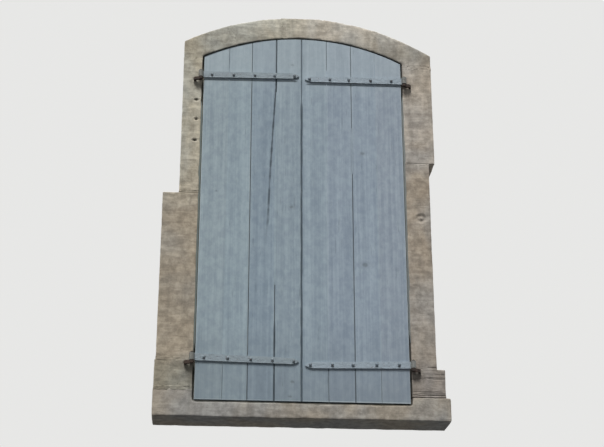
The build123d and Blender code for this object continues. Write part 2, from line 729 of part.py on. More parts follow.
def surround_pieces():
    pieces = {"sill_stone": sill(), "keystone": keystone()}
    for side in (LEFT, RIGHT):
        for name, width, bottom, top in jamb_courses(side):
            pieces[f"{side}_jamb_{name}"] = jamb_stone(side, width, bottom, top)
        pieces[f"{side}_springer"] = springer(side)
        pieces[f"{side}_voussoir"] = voussoir(side)
        for name, height, _ in strap_lines(side):
            pieces[f"{name}_{side}_pintle"] = pintle(side, height)
    joints = mortar_beds(LEFT) + mortar_beds(RIGHT) + mortar_radials()
    pieces["mortar_joints"] = Compound(children=joints)
    pieces["lower_keeper"] = keeper_stem(LEFT)
    pieces["upper_keeper"] = keeper_stem(RIGHT)
    return pieces


def leaf_pieces(side):
    pieces = {f"{side}_board_{i + 1}": board for i, board in enumerate(boards(side))}
    heights = ledge_heights(side)
    for name, height in heights.items():
        pieces[f"{side}_{name}_ledge"] = ledge(side, height)
    half = LEDGE_WIDTH / 2
    pieces[f"{side}_upper_brace"] = brace(side, heights["middle"] + half, heights["upper"] - half)
    pieces[f"{side}_lower_brace"] = brace(side, heights["lower"] + half, heights["middle"] - half)
    for name, height, slope in strap_lines(side):
        pieces[f"{name}_{side}_strap"] = strap(side, height, slope)
    rivets = at_rivets(side, rivet(), LEAF_FRONT - STRAP_THICKNESS)
    pieces[f"{side}_strap_rivets"] = Compound(children=rivets)
    pieces[f"{side}_strap_roves"] = Compound(children=at_rivets(side, rove(), LEDGE_INNER))
    return pieces


def lock_pieces():
    pieces = {f"{name}_rod_bearing": rod_bearing(z) for name, z in ledge_heights(RIGHT).items()}
    bottom, top = rod_ends()
    pieces["lower_claw"] = claw(bottom)
    pieces["upper_claw"] = claw(top - CLAW_THICKNESS)
    pieces["turning_rod"] = rod()
    pieces["rod_handle"] = handle()
    pieces["handle_pin"] = handle_pin()
    pieces["handle_catch"] = handle_catch()
    return pieces


def main():
    os.makedirs("parts", exist_ok=True)
    pieces = surround_pieces() | leaf_pieces(LEFT) | leaf_pieces(RIGHT) | lock_pieces()
    for name, piece in pieces.items():
        export_step(piece, f"parts/{name}.step")
    print(len(pieces), "nodes, hinge axes at x", HINGE_X, -HINGE_X, "y", HINGE_Y)
    print("rod axis", ROD_X, ROD_Y, "handle pivot height", HANDLE_Z, "rod from", rod_ends())


main()
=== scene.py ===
# %% [markdown]
# # A pair of plank shutters in their dressed stone surround
#
# The real thing is a joiner's and a mason's work: softwood boards clenched to ledges, hung on
# forged straps, closed in a surround of limestone. The boards, irons and stones come from the
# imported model, in metres, in the frame in which they were drawn. This file adds what hands, paint
# and weather did.

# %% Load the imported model
import math

import bmesh
import bpy
import numpy as np
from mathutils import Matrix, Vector, noise
from mathutils.bvhtree import BVHTree


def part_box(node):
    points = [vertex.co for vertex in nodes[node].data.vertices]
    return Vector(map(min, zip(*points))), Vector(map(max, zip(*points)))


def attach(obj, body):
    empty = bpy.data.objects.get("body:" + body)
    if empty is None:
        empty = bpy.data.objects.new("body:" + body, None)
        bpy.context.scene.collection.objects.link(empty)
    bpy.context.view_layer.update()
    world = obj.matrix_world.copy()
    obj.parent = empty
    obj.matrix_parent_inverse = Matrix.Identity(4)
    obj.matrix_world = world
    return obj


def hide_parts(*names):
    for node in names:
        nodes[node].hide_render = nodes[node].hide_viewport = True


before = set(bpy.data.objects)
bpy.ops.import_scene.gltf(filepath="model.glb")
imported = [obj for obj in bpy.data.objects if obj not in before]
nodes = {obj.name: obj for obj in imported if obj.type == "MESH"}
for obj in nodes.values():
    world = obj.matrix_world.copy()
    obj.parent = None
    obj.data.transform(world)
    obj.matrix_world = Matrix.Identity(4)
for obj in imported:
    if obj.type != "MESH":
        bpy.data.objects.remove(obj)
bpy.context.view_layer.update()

# %% [markdown]
# ## Camera
#
# The window is seen from the street, from below and a little from its left. The standpoint was
# worked out in the part's own frame, so the camera is placed by numbers, and a long lens brings
# the window up to the frame's height without a shift.

# %% Camera
STANDPOINT = Vector((-0.5479, -6.8524, -1.7853))
AIM = Vector((-0.0049, -0.1, 1.0757))
FIELD_OF_VIEW = math.radians(24.95)
SENSOR_WIDTH = 36
FARTHEST = 100

link = bpy.context.scene.collection.objects.link


def turn_towards(direction):
    """The turn that points a camera or a lamp along a direction."""
    return direction.to_track_quat("-Z", "Y").to_euler()


camera_data = bpy.data.cameras.new("street_camera")
camera_data.sensor_width = SENSOR_WIDTH
camera_data.lens = SENSOR_WIDTH / 2 / math.tan(FIELD_OF_VIEW / 2)
camera_data.clip_end = FARTHEST
camera = bpy.data.objects.new("street_camera", camera_data)
camera.location = STANDPOINT
camera.rotation_euler = turn_towards(AIM - STANDPOINT)
link(camera)
bpy.context.scene.camera = camera
bpy.context.scene.view_settings.view_transform = "Standard"
print("lens", round(camera_data.lens, 1), "mm")

# %% [markdown]
# ## A small kit for node trees
#
# A finish is built from nodes. Writing each link out by hand hides the idea behind it, so a few
# helpers come first. They make a node and fill its inputs: a value that is a socket is linked,
# and any other value is typed in.

# %% Node helpers
class Nodes:
    """A node tree under construction."""

    def __init__(self, tree):
        self.tree = tree
        tree.nodes.clear()

    def add(self, kind, settings=(), **inputs):
        """Makes a node. Its inputs go by number, as i0, i1 and so on, or by title."""
        node = self.tree.nodes.new(kind)
        for key, value in dict(settings).items():
            setattr(node, key, value)
        for key, value in inputs.items():
            by_number = key[0] == "i" and key[1:].isdigit()
            socket = node.inputs[int(key[1:]) if by_number else key.replace("_", " ")]
            if isinstance(value, bpy.types.NodeSocket):
                self.tree.links.new(value, socket)
            else:
                socket.default_value = value
        return node

    def math(self, how, a, b=0.0, c=0.0):
        return self.add("ShaderNodeMath", {"operation": how}, i0=a, i1=b, i2=c).outputs[0]

    def times(self, value, *others):
        for other in others:
            value = self.math("MULTIPLY", value, other)
        return value

    def weighed(self, *pairs):
        """The sum of some values, each times its weight."""
        total = self.times(*pairs[0])
        for value, weight in pairs[1:]:
            total = self.math("ADD", total, self.times(value, weight))
        return total

    def ramp(self, value, low, high, bottom=0.0, top=1.0, how="SMOOTHSTEP"):
        """Takes a value from one range to another."""
        return self.add("ShaderNodeMapRange", {"interpolation_type": how},
                        i0=value, i1=low, i2=high, i3=bottom, i4=top).outputs[0]


print("node trees can be built")

# %% [markdown]
# ## A finish in coats
#
# A painter works in coats, and so does a finish here. It carries a colour and a height, and each
# step covers, tints or lowers what is there so far. The distances and noises say where.

# %% A finish in coats
class Finish(Nodes):
    """A material under construction: its coordinates in metres, its colour and its height."""

    def __init__(self, name):
        self.material = bpy.data.materials.new(name)
        self.material.use_nodes = True
        super().__init__(self.material.node_tree)
        self.place = self.add("ShaderNodeTexCoord").outputs["Object"]
        self.x, self.y, self.z = self.add("ShaderNodeSeparateXYZ", i0=self.place).outputs
        self.colour = None
        self.height = None

    def away(self, value, place=0.0):
        """How far a value is from a place, either way."""
        return self.math("ABSOLUTE", self.math("SUBTRACT", value, place))

    def distance(self, x, z, across=1.0, up=1.0):
        """Distance from a place on the window's face, in half-widths of an oval there."""
        u = self.times(self.math("SUBTRACT", self.x, x), 1 / across)
        v = self.times(self.math("SUBTRACT", self.z, z), 1 / up)
        return self.math("SQRT", self.math("ADD", self.times(u, u), self.times(v, v)))

    def lean(self):
        """1 on a face that looks up, 0 on an upright one, -1 on one that looks down."""
        normal = self.add("ShaderNodeNewGeometry").outputs["Normal"]
        return self.add("ShaderNodeSeparateXYZ", i0=normal).outputs[2]

    def stretch(self, x, y, z, turn=0.0):
        """Coordinates scaled along each axis, after a turn about the axis into the wall."""
        turned = self.place
        if turn:
            turned = self.add("ShaderNodeMapping", i0=turned, Rotation=(0, turn, 0)).outputs[0]
        return self.add("ShaderNodeMapping", i0=turned, Scale=(x, y, z)).outputs[0]

    def noise(self, place, scale=1.0, detail=4.0, rough=0.55, warp=0.0):
        return self.add("ShaderNodeTexNoise", Vector=place, Scale=scale, Detail=detail,
                        Roughness=rough, Distortion=warp).outputs[0]

    def mix(self, share, under, over, how="MIX"):
        return self.add("ShaderNodeMix", {"data_type": "RGBA", "blend_type": how},
                        i0=share, i6=under, i7=over).outputs[2]

    def courses(self, value, stops):
        """Colours laid along a value, each blending into the next."""
        reach = stops[-1][0]
        made = self.add("ShaderNodeValToRGB", i0=self.math("DIVIDE", value, reach))
        marks = made.color_ramp.elements
        while len(marks) < len(stops):
            marks.new(0.5)
        for mark, (place, colour) in zip(marks, stops):
            mark.position = place / reach
            mark.color = colour
        return made.outputs[0]

    def cover(self, share, colour):
        """Lays a colour over what is there, by a share of it."""
        self.colour = self.mix(share, self.colour, colour)

    def tinted(self, tint):
        return self.mix(1.0, self.colour, (*tint, 1), "MULTIPLY")

    def tint(self, value, low, high, one, other):
        """Tints the colour one way where a value is low, and another way where it is high."""
        self.colour = self.mix(self.ramp(value, low, high), self.tinted(one), self.tinted(other))

    def lower(self, share, by):
        self.height = self.math("SUBTRACT", self.height, self.times(share, by))

    def close(self, rough, depth, shine):
        """Ends with a shader. A height of 1 stands out by the depth, in metres."""
        bump = self.add("ShaderNodeBump", Height=self.height, Distance=depth, Strength=1.0)
        shader = self.add("ShaderNodeBsdfPrincipled", Base_Color=self.colour, Roughness=rough,
                          Normal=bump.outputs[0], Specular_IOR_Level=shine)
        self.add("ShaderNodeOutputMaterial", Surface=shader.outputs[0])
        return self.material


print("finishes can be built")

# %% [markdown]
# ## Colours and pieces
#
# Colours are picked on a screen but lit as light, so they are converted once. A node of the
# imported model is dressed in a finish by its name.

# %% Colours and pieces
def rgb(*screen):
    """A colour from its red, green and blue on a screen, each from 0 to 255."""
    linear = [((c / 255 + 0.055) / 1.055) ** 2.4 if c > 10 else c / 255 / 12.92 for c in screen]
    return (*linear, 1.0)


def finish_with(piece, material):
    """Gives a piece one finish in place of those that it has."""
    piece.data.materials.clear()
    piece.data.materials.append(material)


def dress(names, material):
    for name in names:
        finish_with(nodes[name], material)


print("a mid grey is", [round(c, 3) for c in rgb(128, 128, 128)])

# %% [markdown]
# ## Sky
#
# The day is overcast: a broad sky, brightest overhead. That light draws the dark line below each
# strap and leaves the rebates dark. A world whose brightness rises towards the zenith gives it.
# Whatever looks at the sky, straight or by a reflection, sees one plain pale tone instead.

# %% Sky
PALE = (0.80, 0.80, 0.79, 1.0)
CLOUD = (0.97, 0.985, 1.0, 1.0)
SKY_AT_HORIZON = 0.17
SKY_AT_ZENITH = 0.50
GROUND_GLOW = 0.80

world = bpy.data.worlds.new("overcast_sky")
bpy.context.scene.world = world
world.use_nodes = True
sky = Nodes(world.node_tree)
direction = sky.add("ShaderNodeTexCoord").outputs["Generated"]
up = sky.add("ShaderNodeSeparateXYZ", i0=direction).outputs[2]
above = sky.ramp(up, 0.0, 1.0, SKY_AT_HORIZON, SKY_AT_ZENITH, "LINEAR")
below = sky.ramp(up, -0.1, 0.0, GROUND_GLOW, 1.0, "LINEAR")
ray = sky.add("ShaderNodeLightPath").outputs
shown = sky.math("MAXIMUM", ray["Is Camera Ray"], ray["Is Glossy Ray"])
shown = sky.math("MAXIMUM", shown, ray["Is Transmission Ray"])
lit = sky.add("ShaderNodeBackground", i0=CLOUD, i1=sky.times(above, below)).outputs[0]
plain = sky.add("ShaderNodeBackground", i0=PALE, i1=1.0).outputs[0]
both = sky.add("ShaderNodeMixShader", i0=shown, i1=lit, i2=plain).outputs[0]
sky.add("ShaderNodeOutputWorld", i0=both)
print("sky from", SKY_AT_HORIZON, "at the horizon to", SKY_AT_ZENITH, "overhead")

# %% [markdown]
# ## Sun and lamps
#
# One wide, soft sun from high in front gives the shadows their direction. Three wide lamps behind
# the plane of the wall fill the back and the sides, which the street's light misses.

# %% Sun and lamps
SUN_STRENGTH = 4.65
SUN_WIDTH = math.radians(20)
SUN_DIRECTION = Vector((0.14, 0.43, -1.0))
SUN_COLOUR = (1.0, 0.985, 0.96)
FILL_COLOUR = (1.0, 0.99, 0.97)
FILL_SIZE = 3.5
FILL_AIM = Vector((0, 0, 1.1))
# Where each lamp stands, and its watts
FILLS = {
    "room_fill": ((0.8, 4.5, 2.6), 200),
    "left_fill": ((-4.8, 1.3, 2.2), 95),
    "right_fill": ((4.8, 1.3, 2.2), 95),
}


def add_lamp(name, kind, strength, colour, direction):
    lamp_data = bpy.data.lights.new(name, kind)
    lamp_data.energy = strength
    lamp_data.color = colour
    lamp = bpy.data.objects.new(name, lamp_data)
    lamp.rotation_euler = turn_towards(direction)
    link(lamp)
    return lamp


sun = add_lamp("veiled_sun", "SUN", SUN_STRENGTH, SUN_COLOUR, SUN_DIRECTION)
sun.data.angle = SUN_WIDTH
fills = []
for name, (place, watts) in FILLS.items():
    fill = add_lamp(name, "AREA", watts, FILL_COLOUR, FILL_AIM - Vector(place))
    fill.data.size = FILL_SIZE
    fill.location = place
    fills.append(fill)
print("a soft sun and", len(fills), "lamps")

# %% [markdown]
# ## Floor
#
# The camera stands lower than the floor of the stage. So only what looks at the floor from above
# sees it, and every other ray goes on to the sky's dim lower half. The three lamps don't light
# it, because they would burn it out behind the window.

# %% Floor
FLOOR_COLOUR = (0.37, 0.37, 0.365, 1.0)
FLOOR_REACH = 30
FLOOR_DROP = 0.002

floor_mesh = bpy.data.meshes.new("stage_floor")
corner_signs = ((-1, -1), (1, -1), (1, 1), (-1, 1))
floor_corners = [(x * FLOOR_REACH, y * FLOOR_REACH, 0) for x, y in corner_signs]
floor_mesh.from_pydata(floor_corners, [], [(0, 1, 2, 3)])
stage_floor = bpy.data.objects.new("stage_floor", floor_mesh)
stage_floor.location.z = -FLOOR_DROP
link(stage_floor)

floor = Finish("pale_floor")
by_camera = floor.add("ShaderNodeLightPath").outputs["Is Camera Ray"]
from_below = floor.add("ShaderNodeNewGeometry").outputs["Backfacing"]
solid = floor.times(by_camera, floor.math("SUBTRACT", 1.0, from_below))
matt = floor.add("ShaderNodeBsdfDiffuse", Color=FLOOR_COLOUR).outputs[0]
clear = floor.add("ShaderNodeBsdfTransparent").outputs[0]
sided = floor.add("ShaderNodeMixShader", i0=solid, i1=clear, i2=matt).outputs[0]
floor.add("ShaderNodeOutputMaterial", Surface=sided)
floor_mesh.materials.append(floor.material)

unlit_by_fills = bpy.data.collections.new("unlit_by_fills")
unlit_by_fills.objects.link(stage_floor)
unlit_by_fills.collection_objects[0].light_linking.link_state = "EXCLUDE"
for fill in fills:
    fill.light_linking.receiver_collection = unlit_by_fills
print("floor", FLOOR_REACH * 2, "m wide")

# %% [markdown]
# ## Stone in even cells
#
# A drawn block has a few flat faces, and wear needs points to move. So each block is rebuilt from
# small cells of even size, which keep its shape.

# %% Even cells
def copy_of(node, name):
    copy = bpy.data.objects.new(name, nodes[node].data.copy())
    link(copy)
    return copy


def into_cells(piece, size):
    cells = piece.modifiers.new("cells", "REMESH")
    cells.mode = "VOXEL"
    cells.voxel_size = size
    cells.use_smooth_shade = True
    bpy.context.view_layer.update()
    evaluated = piece.evaluated_get(bpy.context.evaluated_depsgraph_get())
    mesh = bpy.data.meshes.new_from_object(evaluated)
    piece.modifiers.clear()
    piece.data = mesh
    mesh.name = piece.name


def per_point(mesh, what):
    """One row for each point of a mesh: its place ("co") or its normal ("normal")."""
    flat = np.zeros(len(mesh.vertices) * 3)
    mesh.vertices.foreach_get(what, flat)
    return flat.reshape(-1, 3)


def move_points(mesh, places):
    mesh.vertices.foreach_set("co", places.ravel())
    mesh.update()


print("stones can be rebuilt")

# %% [markdown]
# ## Wear
#
# The stones were dressed square and have weathered since: their arrises are blunt, here more and
# there less, and their faces are no longer flat. An arris goes blunt when each point drifts
# towards its neighbours, less at a joint, where the mortar has held it. Wear moves a point only
# into the stone, so the rebate stays clear and the size stays as drawn.

# %% Wear
ROUNDS = 4
DISHED = 0.0022
PECKED = 0.0008
JOINT_REACH = 0.016
LEFT_AT_A_JOINT = 0.12
mortar_tree = BVHTree.FromObject(nodes["mortar_joints"], bpy.context.evaluated_depsgraph_get())


def relaxed(points, edges, rounds):
    """Every point moved to the middle of its neighbours, some rounds over."""
    a, b = edges[:, 0], edges[:, 1]
    count = np.maximum(np.bincount(edges.ravel(), minlength=len(points)), 1)
    for _ in range(rounds):
        total = [
            np.bincount(a, points[b, k], len(points)) + np.bincount(b, points[a, k], len(points))
            for k in range(3)
        ]
        points = np.stack(total, 1) / count[:, None]
    return points


def field(points, scale, seed, octaves=3):
    """Smooth noise from 0 to 1 at each point."""
    shift = Vector((seed * 3.7, seed * 1.3, seed * 5.1))
    made = [noise.fractal(Vector(p) * scale + shift, 1.0, 2.0, octaves) for p in points]
    return np.clip(np.array(made) * 0.5 + 0.5, 0, 1)


def blunted(mesh, start, seed):
    """Each point drawn towards its neighbours, unevenly, and less at a joint."""
    edges = np.zeros(len(mesh.edges) * 2, np.int64)
    mesh.edges.foreach_get("vertices", edges)
    soft = relaxed(start, edges.reshape(-1, 2), ROUNDS)
    to_joint = [mortar_tree.find_nearest(Vector(p), JOINT_REACH)[3] for p in start]
    free = np.array([1.0 if d is None else d / JOINT_REACH for d in to_joint])
    share = np.clip(field(start, 9.0, seed) * 1.7 - 0.25, 0.15, 1.0)
    share *= LEFT_AT_A_JOINT + (1 - LEFT_AT_A_JOINT) * free
    return start + (soft - start) * share[:, None]


def sinking(start, normals, seed, pits):
    """How deep each point sinks: broad dishes, pecks as small as a fingertip, and named pits."""
    sunk = DISHED * field(start, 14.0, seed + 1) ** 2 + PECKED * field(start, 60.0, seed + 2, 2)
    on_face = normals[:, 1] < -0.4
    for x, z, across, up, down in pits:
        away = np.hypot((start[:, 0] - x) / across, (start[:, 2] - z) / up)
        sunk += np.where(on_face, down * np.clip(1.2 - away, 0, 1), 0)
    return sunk


def wear(piece, seed, pits=()):
    """Blunts and sinks the points of a stone, and lets none of them come out of it."""
    start, normals = per_point(piece.data, "co"), per_point(piece.data, "normal")
    moved = blunted(piece.data, start, seed)
    moved -= normals * sinking(start, normals, seed, pits)[:, None]
    outward = np.einsum("ij,ij->i", moved - start, normals)
    moved -= normals * np.maximum(outward, 0)[:, None]
    move_points(piece.data, moved)


print("arrises drift for", ROUNDS, "rounds; faces sink by up to", DISHED + PECKED, "m")

# %% [markdown]
# ## Every stone worn
#
# Two stones carry marks of their own. The left jamb's upper stone has three notches, where
# something was once fixed to it. The right jamb's lower stone has a pock with a knob left in its
# middle, which is a pit with a smaller one taken back out of it.

# %% Every stone worn
CELL = 0.0055
# Each pit has its place, its half-width, its half-height and its depth
NOTCHES = [
    (-0.594, 1.805, 0.013, 0.007, 0.010),
    (-0.592, 1.685, 0.011, 0.008, 0.009),
    (-0.597, 1.555, 0.015, 0.007, 0.010),
]
RING_POCK = [(0.645, 1.128, 0.030, 0.026, 0.010), (0.645, 1.128, 0.017, 0.014, -0.010)]
PITS = {"left_jamb_upper": NOTCHES, "right_jamb_lower": RING_POCK}
STONE_KINDS = ("_springer", "_voussoir", "keystone", "sill_stone")

worn = {}
stones = sorted(n for n in nodes if "_jamb_" in n or n.endswith(STONE_KINDS))
for number, name in enumerate(stones):
    piece = copy_of(name, name + "_worn")
    into_cells(piece, CELL)
    wear(piece, number, PITS.get(name, ()))
    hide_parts(name)
    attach(piece, "surround")
    worn[name] = piece
print(len(worn), "stones,", sum(len(p.data.polygons) for p in worn.values()), "cells")

# %% [markdown]
# ## Slabs of mortar
#
# The mason filled the joints flush and let the mortar lap over the blunt arrises, so no joint
# shows as a groove. The mortar was drawn as thin slabs. Each is found by walking along its edges,
# and then widened: its broad faces move apart into the stones, and its narrow ones come up nearly
# flush.

# %% Slabs of mortar
UP_TO_FACE = 0.0007


def slabs_of(mesh):
    """The separate slabs of a mesh under construction, each as a set of points."""
    left_over = set(mesh.verts)
    while left_over:
        slab, queue = set(), [next(iter(left_over))]
        while queue:
            point = queue.pop()
            if point not in slab:
                slab.add(point)
                queue += [edge.other_vert(point) for edge in point.link_edges]
        left_over -= slab
        yield slab


def widen(slab, lap):
    """Moves a slab's broad faces out by the lap, and its narrow ones nearly flush."""
    faces = {face for point in slab for face in point.link_faces}
    normals = np.array([face.normal * face.calc_area() for face in faces])
    broad = Vector(np.linalg.eigh(normals.T @ normals)[1][:, 2])
    for point in slab:
        move = Vector()
        for face in point.link_faces:
            step = face.normal * (lap if abs(face.normal.dot(broad)) > 0.9 else UP_TO_FACE)
            if move.dot(face.normal) < step.length * 0.9:
                move += step - face.normal * move.dot(face.normal)
        point.co += move


print("mortar stops", UP_TO_FACE, "m in front of the drawn joint")

# %% [markdown]
# ## Flush pointing
#
# Three bed joints have opened since and lap less. The widened slabs are then rebuilt from cells
# as the stones were, and the trowel's unevenness is sunk into them.

# %% Flush pointing
LAP = 0.011
OPEN_LAP = 0.0035
# Side and height of each open bed joint
OPEN_BEDS = ((-1, 1.24), (1, 1.47), (1, 0.126))
POINTING_CELL = 0.004
TROWELLED = 0.0022

pointing = copy_of("mortar_joints", "lime_pointing")
slabs = bmesh.new()
slabs.from_mesh(pointing.data)
bmesh.ops.remove_doubles(slabs, verts=slabs.verts, dist=1e-6)
count = 0
for slab in slabs_of(slabs):
    middle = sum((point.co for point in slab), Vector()) / len(slab)
    opened = any(middle.x * side > 0 and abs(middle.z - level) < 0.06 for side, level in OPEN_BEDS)
    widen(slab, OPEN_LAP if opened else LAP)
    count += 1
slabs.to_mesh(pointing.data)
slabs.free()
into_cells(pointing, POINTING_CELL)
start = per_point(pointing.data, "co")
sunk = TROWELLED * field(start, 55.0, 77, 3) ** 1.5
move_points(pointing.data, start - per_point(pointing.data, "normal") * sunk[:, None])
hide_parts("mortar_joints")
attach(pointing, "surround")
print(count, "joints pointed")

# %% [markdown]
# ## The tint of the courses
#
# The stone's tint changes with height, and is a little yellower on the left and pinker on the
# right. It runs on from stone to stone, because the joints were limewashed over. So it is read
# off two lists of heights, and blended from side to side.

# %% The tint of the courses
LEFT_COURSES = [
    (0.10, rgb(147, 146, 136)), (0.27, rgb(149, 147, 137)), (0.33, rgb(165, 159, 148)),
    (1.12, rgb(168, 162, 151)), (1.36, rgb(185, 183, 172)), (2.05, rgb(185, 183, 171)),
    (2.15, rgb(169, 167, 156)), (2.32, rgb(195, 193, 181)),
]
RIGHT_COURSES = [
    (0.10, rgb(146, 142, 139)), (0.26, rgb(148, 144, 140)), (0.34, rgb(166, 159, 150)),
    (1.30, rgb(169, 162, 152)), (1.60, rgb(186, 180, 172)), (2.05, rgb(182, 176, 167)),
    (2.14, rgb(164, 159, 148)), (2.26, rgb(195, 191, 182)),
]


def course_tint(f):
    left, right = (f.courses(f.z, stops) for stops in (LEFT_COURSES, RIGHT_COURSES))
    return f.mix(f.ramp(f.x, -0.12, 0.12), left, right)


print(len(LEFT_COURSES), "tints on the left,", len(RIGHT_COURSES), "on the right")

# %% [markdown]
# ## Painted shade and grime in the rebate
#
# The rebate's stone is painted dark: painted shade of the narrow gap round the leaves, mixed with
# grime from the damp that the leaves keep. The painted shade is deepest under the arch, and the
# notches are painted dark too. The rebate's drawn width, floor and arch say where this darkening
# lies. It stops just short of the stone's face.

# %% Painted shade and grime in the rebate
FACE = -0.100
REBATE_HALF_WIDTH = 0.565
REBATE_FLOOR = 0.081
# The rebate's arch is part of a circle
REBATE_RADIUS = 1.210
REBATE_CENTRE = 1.013
UNDER_THE_ARCH = (1.90, 2.15)
SHADE_AND_GRIME_BESIDE = rgb(78, 80, 76)
SHADE_AND_GRIME_UNDER_ARCH = rgb(46, 49, 48)
NOTCH_SHADE_AND_DIRT = (0.06, 0.055, 0.045, 1)


# Painted shade: darkens the rebate's stone where the gap round the leaves lies in shade, darker
# still under the arch, mixed with grime.
def add_rebate_shade_and_grime(f):
    share = f.times(
        f.ramp(f.distance(0, REBATE_CENTRE), REBATE_RADIUS + 0.008, REBATE_RADIUS + 0.003),
        f.ramp(f.away(f.x), REBATE_HALF_WIDTH + 0.008, REBATE_HALF_WIDTH + 0.003),
        f.ramp(f.z, REBATE_FLOOR - 0.007, REBATE_FLOOR - 0.002),
        f.ramp(f.y, FACE + 0.0015, FACE + 0.006),
        f.ramp(f.y, FACE + 0.050, FACE + 0.034),
        f.ramp(f.z, *UNDER_THE_ARCH, 0.55, 0.85),
    )
    f.cover(share, f.mix(f.ramp(f.z, *UNDER_THE_ARCH), SHADE_AND_GRIME_BESIDE, SHADE_AND_GRIME_UNDER_ARCH))


# Painted shade: each notch is painted dark as the shade in its hollow, with some dirt.
def darken_notches(f, notches, ragged):
    for x, z, across, up, _ in notches:
        away = f.math("ADD", f.distance(x, z, across, up), f.math("SUBTRACT", ragged, 0.5))
        on_face = f.ramp(f.y, FACE + 0.05, FACE + 0.02)
        f.cover(f.times(f.ramp(away, 1.15, 0.55, 0.0, 0.75), on_face), NOTCH_SHADE_AND_DIRT)


# The darker stone is painted shade as well as grime.
print("grime from", UNDER_THE_ARCH[0], "m up is darker")

# %% [markdown]
# ## Limestone
#
# The stone is a warm grey with clouds of tan and of cooler grey. Layers of noise at very
# different scales give it: clouds a hand wide, mottling a finger wide, the layers of its bed,
# pores, and grain like sand. Rain has left dark runs, and dust dulls the faces that look up.

# %% Limestone
COOL, WARM = (0.93, 0.97, 1.03), (1.07, 1.01, 0.93)
MOTTLE_DARK, MOTTLE_LIGHT = (0.73, 0.72, 0.71), (1.22, 1.21, 1.20)
LAYER_DARK, LAYER_LIGHT = (0.87, 0.86, 0.85), (1.08, 1.08, 1.07)
SAND_DARK = (0.55, 0.53, 0.5)
RAIN_RUN = (0.10, 0.095, 0.085, 1)
PORE = (0.07, 0.06, 0.05, 1)
BED_LINE = (0.06, 0.058, 0.055, 1)
SETTLED = rgb(128, 122, 110)


def limestone(name, base=None, runs=0.25, bedded=0.0, notches=()):
    f = Finish(name)
    f.colour = base or course_tint(f)
    clouds = f.noise(f.stretch(3.2, 3.2, 2.2), 1.0, 3, 0.5, 0.4)
    mottle = f.noise(f.place, 26.0, 5, 0.6)
    layers = f.noise(f.stretch(5, 5, 38), 1.0, 5, 0.65, 0.8)
    grain = f.noise(f.place, 420.0, 3, 0.6)
    pores = f.ramp(f.noise(f.place, 130.0, 2, 0.5), 0.70, 0.76)
    drips = f.ramp(f.noise(f.stretch(22, 22, 1.6), 1.0, 4, 0.6), 0.52, 0.75)
    f.tint(clouds, 0.36, 0.66, COOL, WARM)
    f.tint(mottle, 0.30, 0.72, MOTTLE_DARK, MOTTLE_LIGHT)
    f.tint(layers, 0.35, 0.68, LAYER_DARK, LAYER_LIGHT)
    f.cover(f.times(drips, runs), RAIN_RUN)
    f.cover(f.ramp(grain, 0.35, 0.75, 0.0, 0.28), f.tinted(SAND_DARK))
    f.cover(f.times(pores, 0.6), PORE)
    f.height = f.weighed((mottle, 0.5), (grain, 0.22), (layers, 0.35), (pores, -0.5))
    if bedded:
        beds = f.ramp(f.noise(f.stretch(3, 3, 46), 1.0, 3, 0.6, 0.6), 0.54, 0.60)
        f.cover(f.times(beds, bedded), BED_LINE)
        f.lower(beds, 0.8)
    darken_notches(f, notches, mottle)
    add_rebate_shade_and_grime(f)
    f.cover(f.ramp(f.lean(), 0.35, 0.8, 0.0, 0.55), SETTLED)
    return f.close(rough=0.92, depth=0.003, shine=0.25)


print("limestone mixed")

# %% [markdown]
# ## The surround finished
#
# The sill is one tone of its own, the right jamb's base shows its beds as dark lines, and the
# pointing has the fewest runs.

# %% The surround finished
SILL_TINT = rgb(162, 159, 153)
OWN_LOOKS = {
    "sill_stone": {"base": SILL_TINT},
    "right_jamb_base": {"bedded": 0.25},
    "left_jamb_upper": {"notches": NOTCHES},
}

for name, piece in worn.items():
    finish_with(piece, limestone(name, **OWN_LOOKS.get(name, {})))
    built_up = "jamb_stone" if "_jamb_" in name else "arch_stone"
finish_with(pointing, limestone("lime_mortar", runs=0.1))
print(len(worn), "stones and the pointing finished")

# %% [markdown]
# ## Chalky paint on softwood
#
# Old linseed paint goes chalky and keeps the grain of the wood below it. The grain is noise drawn
# out along the fibres: long streaks, fine ones, and the short checks where the paint has opened.
# The chalkiness over it has no direction.

# %% Chalky paint
PALER, DEEPER = (1.13, 1.125, 1.115, 1), (0.83, 0.85, 0.88, 1)
CHALK_DARK, CHALK_LIGHT = (0.87, 0.885, 0.91), (1.10, 1.095, 1.08)
CHECK = rgb(92, 103, 110)
PAINT_SHEEN = {"rough": 0.62, "depth": 0.0012, "shine": 0.35}


def brushed_paint(name, paint, along="Z", turn=0.0):
    """Chalky paint with the grain below it, along an axis or turned from it."""
    f = Finish(name)

    def fibres(across, lengthways, *kind):
        """Noise with so many waves to the metre across the grain and along it."""
        scales = (across, across, lengthways) if along == "Z" else (lengthways, across, across)
        return f.noise(f.stretch(*scales, turn=turn), 1.0, *kind)

    f.streaks = fibres(55, 1.1, 6, 0.62, 0.25)
    f.patches = f.noise(f.place, 3.5, 4, 0.55)
    f.chalk = f.noise(f.stretch(34, 34, 24), 1.0, 5, 0.62)
    grain = fibres(420, 7, 4, 0.6)
    checks = f.ramp(fibres(150, 8, 3, 0.55), 0.66, 0.74)
    pale, deep = (tuple(c * t for c, t in zip(paint, tint)) for tint in (PALER, DEEPER))
    f.colour = f.mix(f.ramp(f.streaks, 0.32, 0.70), deep, pale)
    f.cover(f.ramp(f.patches, 0.3, 0.7, 0.0, 0.35), paint)
    f.cover(f.ramp(grain, 0.48, 0.74, 0.0, 0.35), deep)
    f.tint(f.chalk, 0.30, 0.70, CHALK_DARK, CHALK_LIGHT)
    f.cover(f.times(checks, 0.42), CHECK)
    f.height = f.weighed((f.streaks, 0.6), (grain, 0.5), (checks, -0.5))
    return f


def painted_wood(name, paint, along="Z", turn=0.0):
    return brushed_paint(name, paint, along, turn).close(**PAINT_SHEEN)


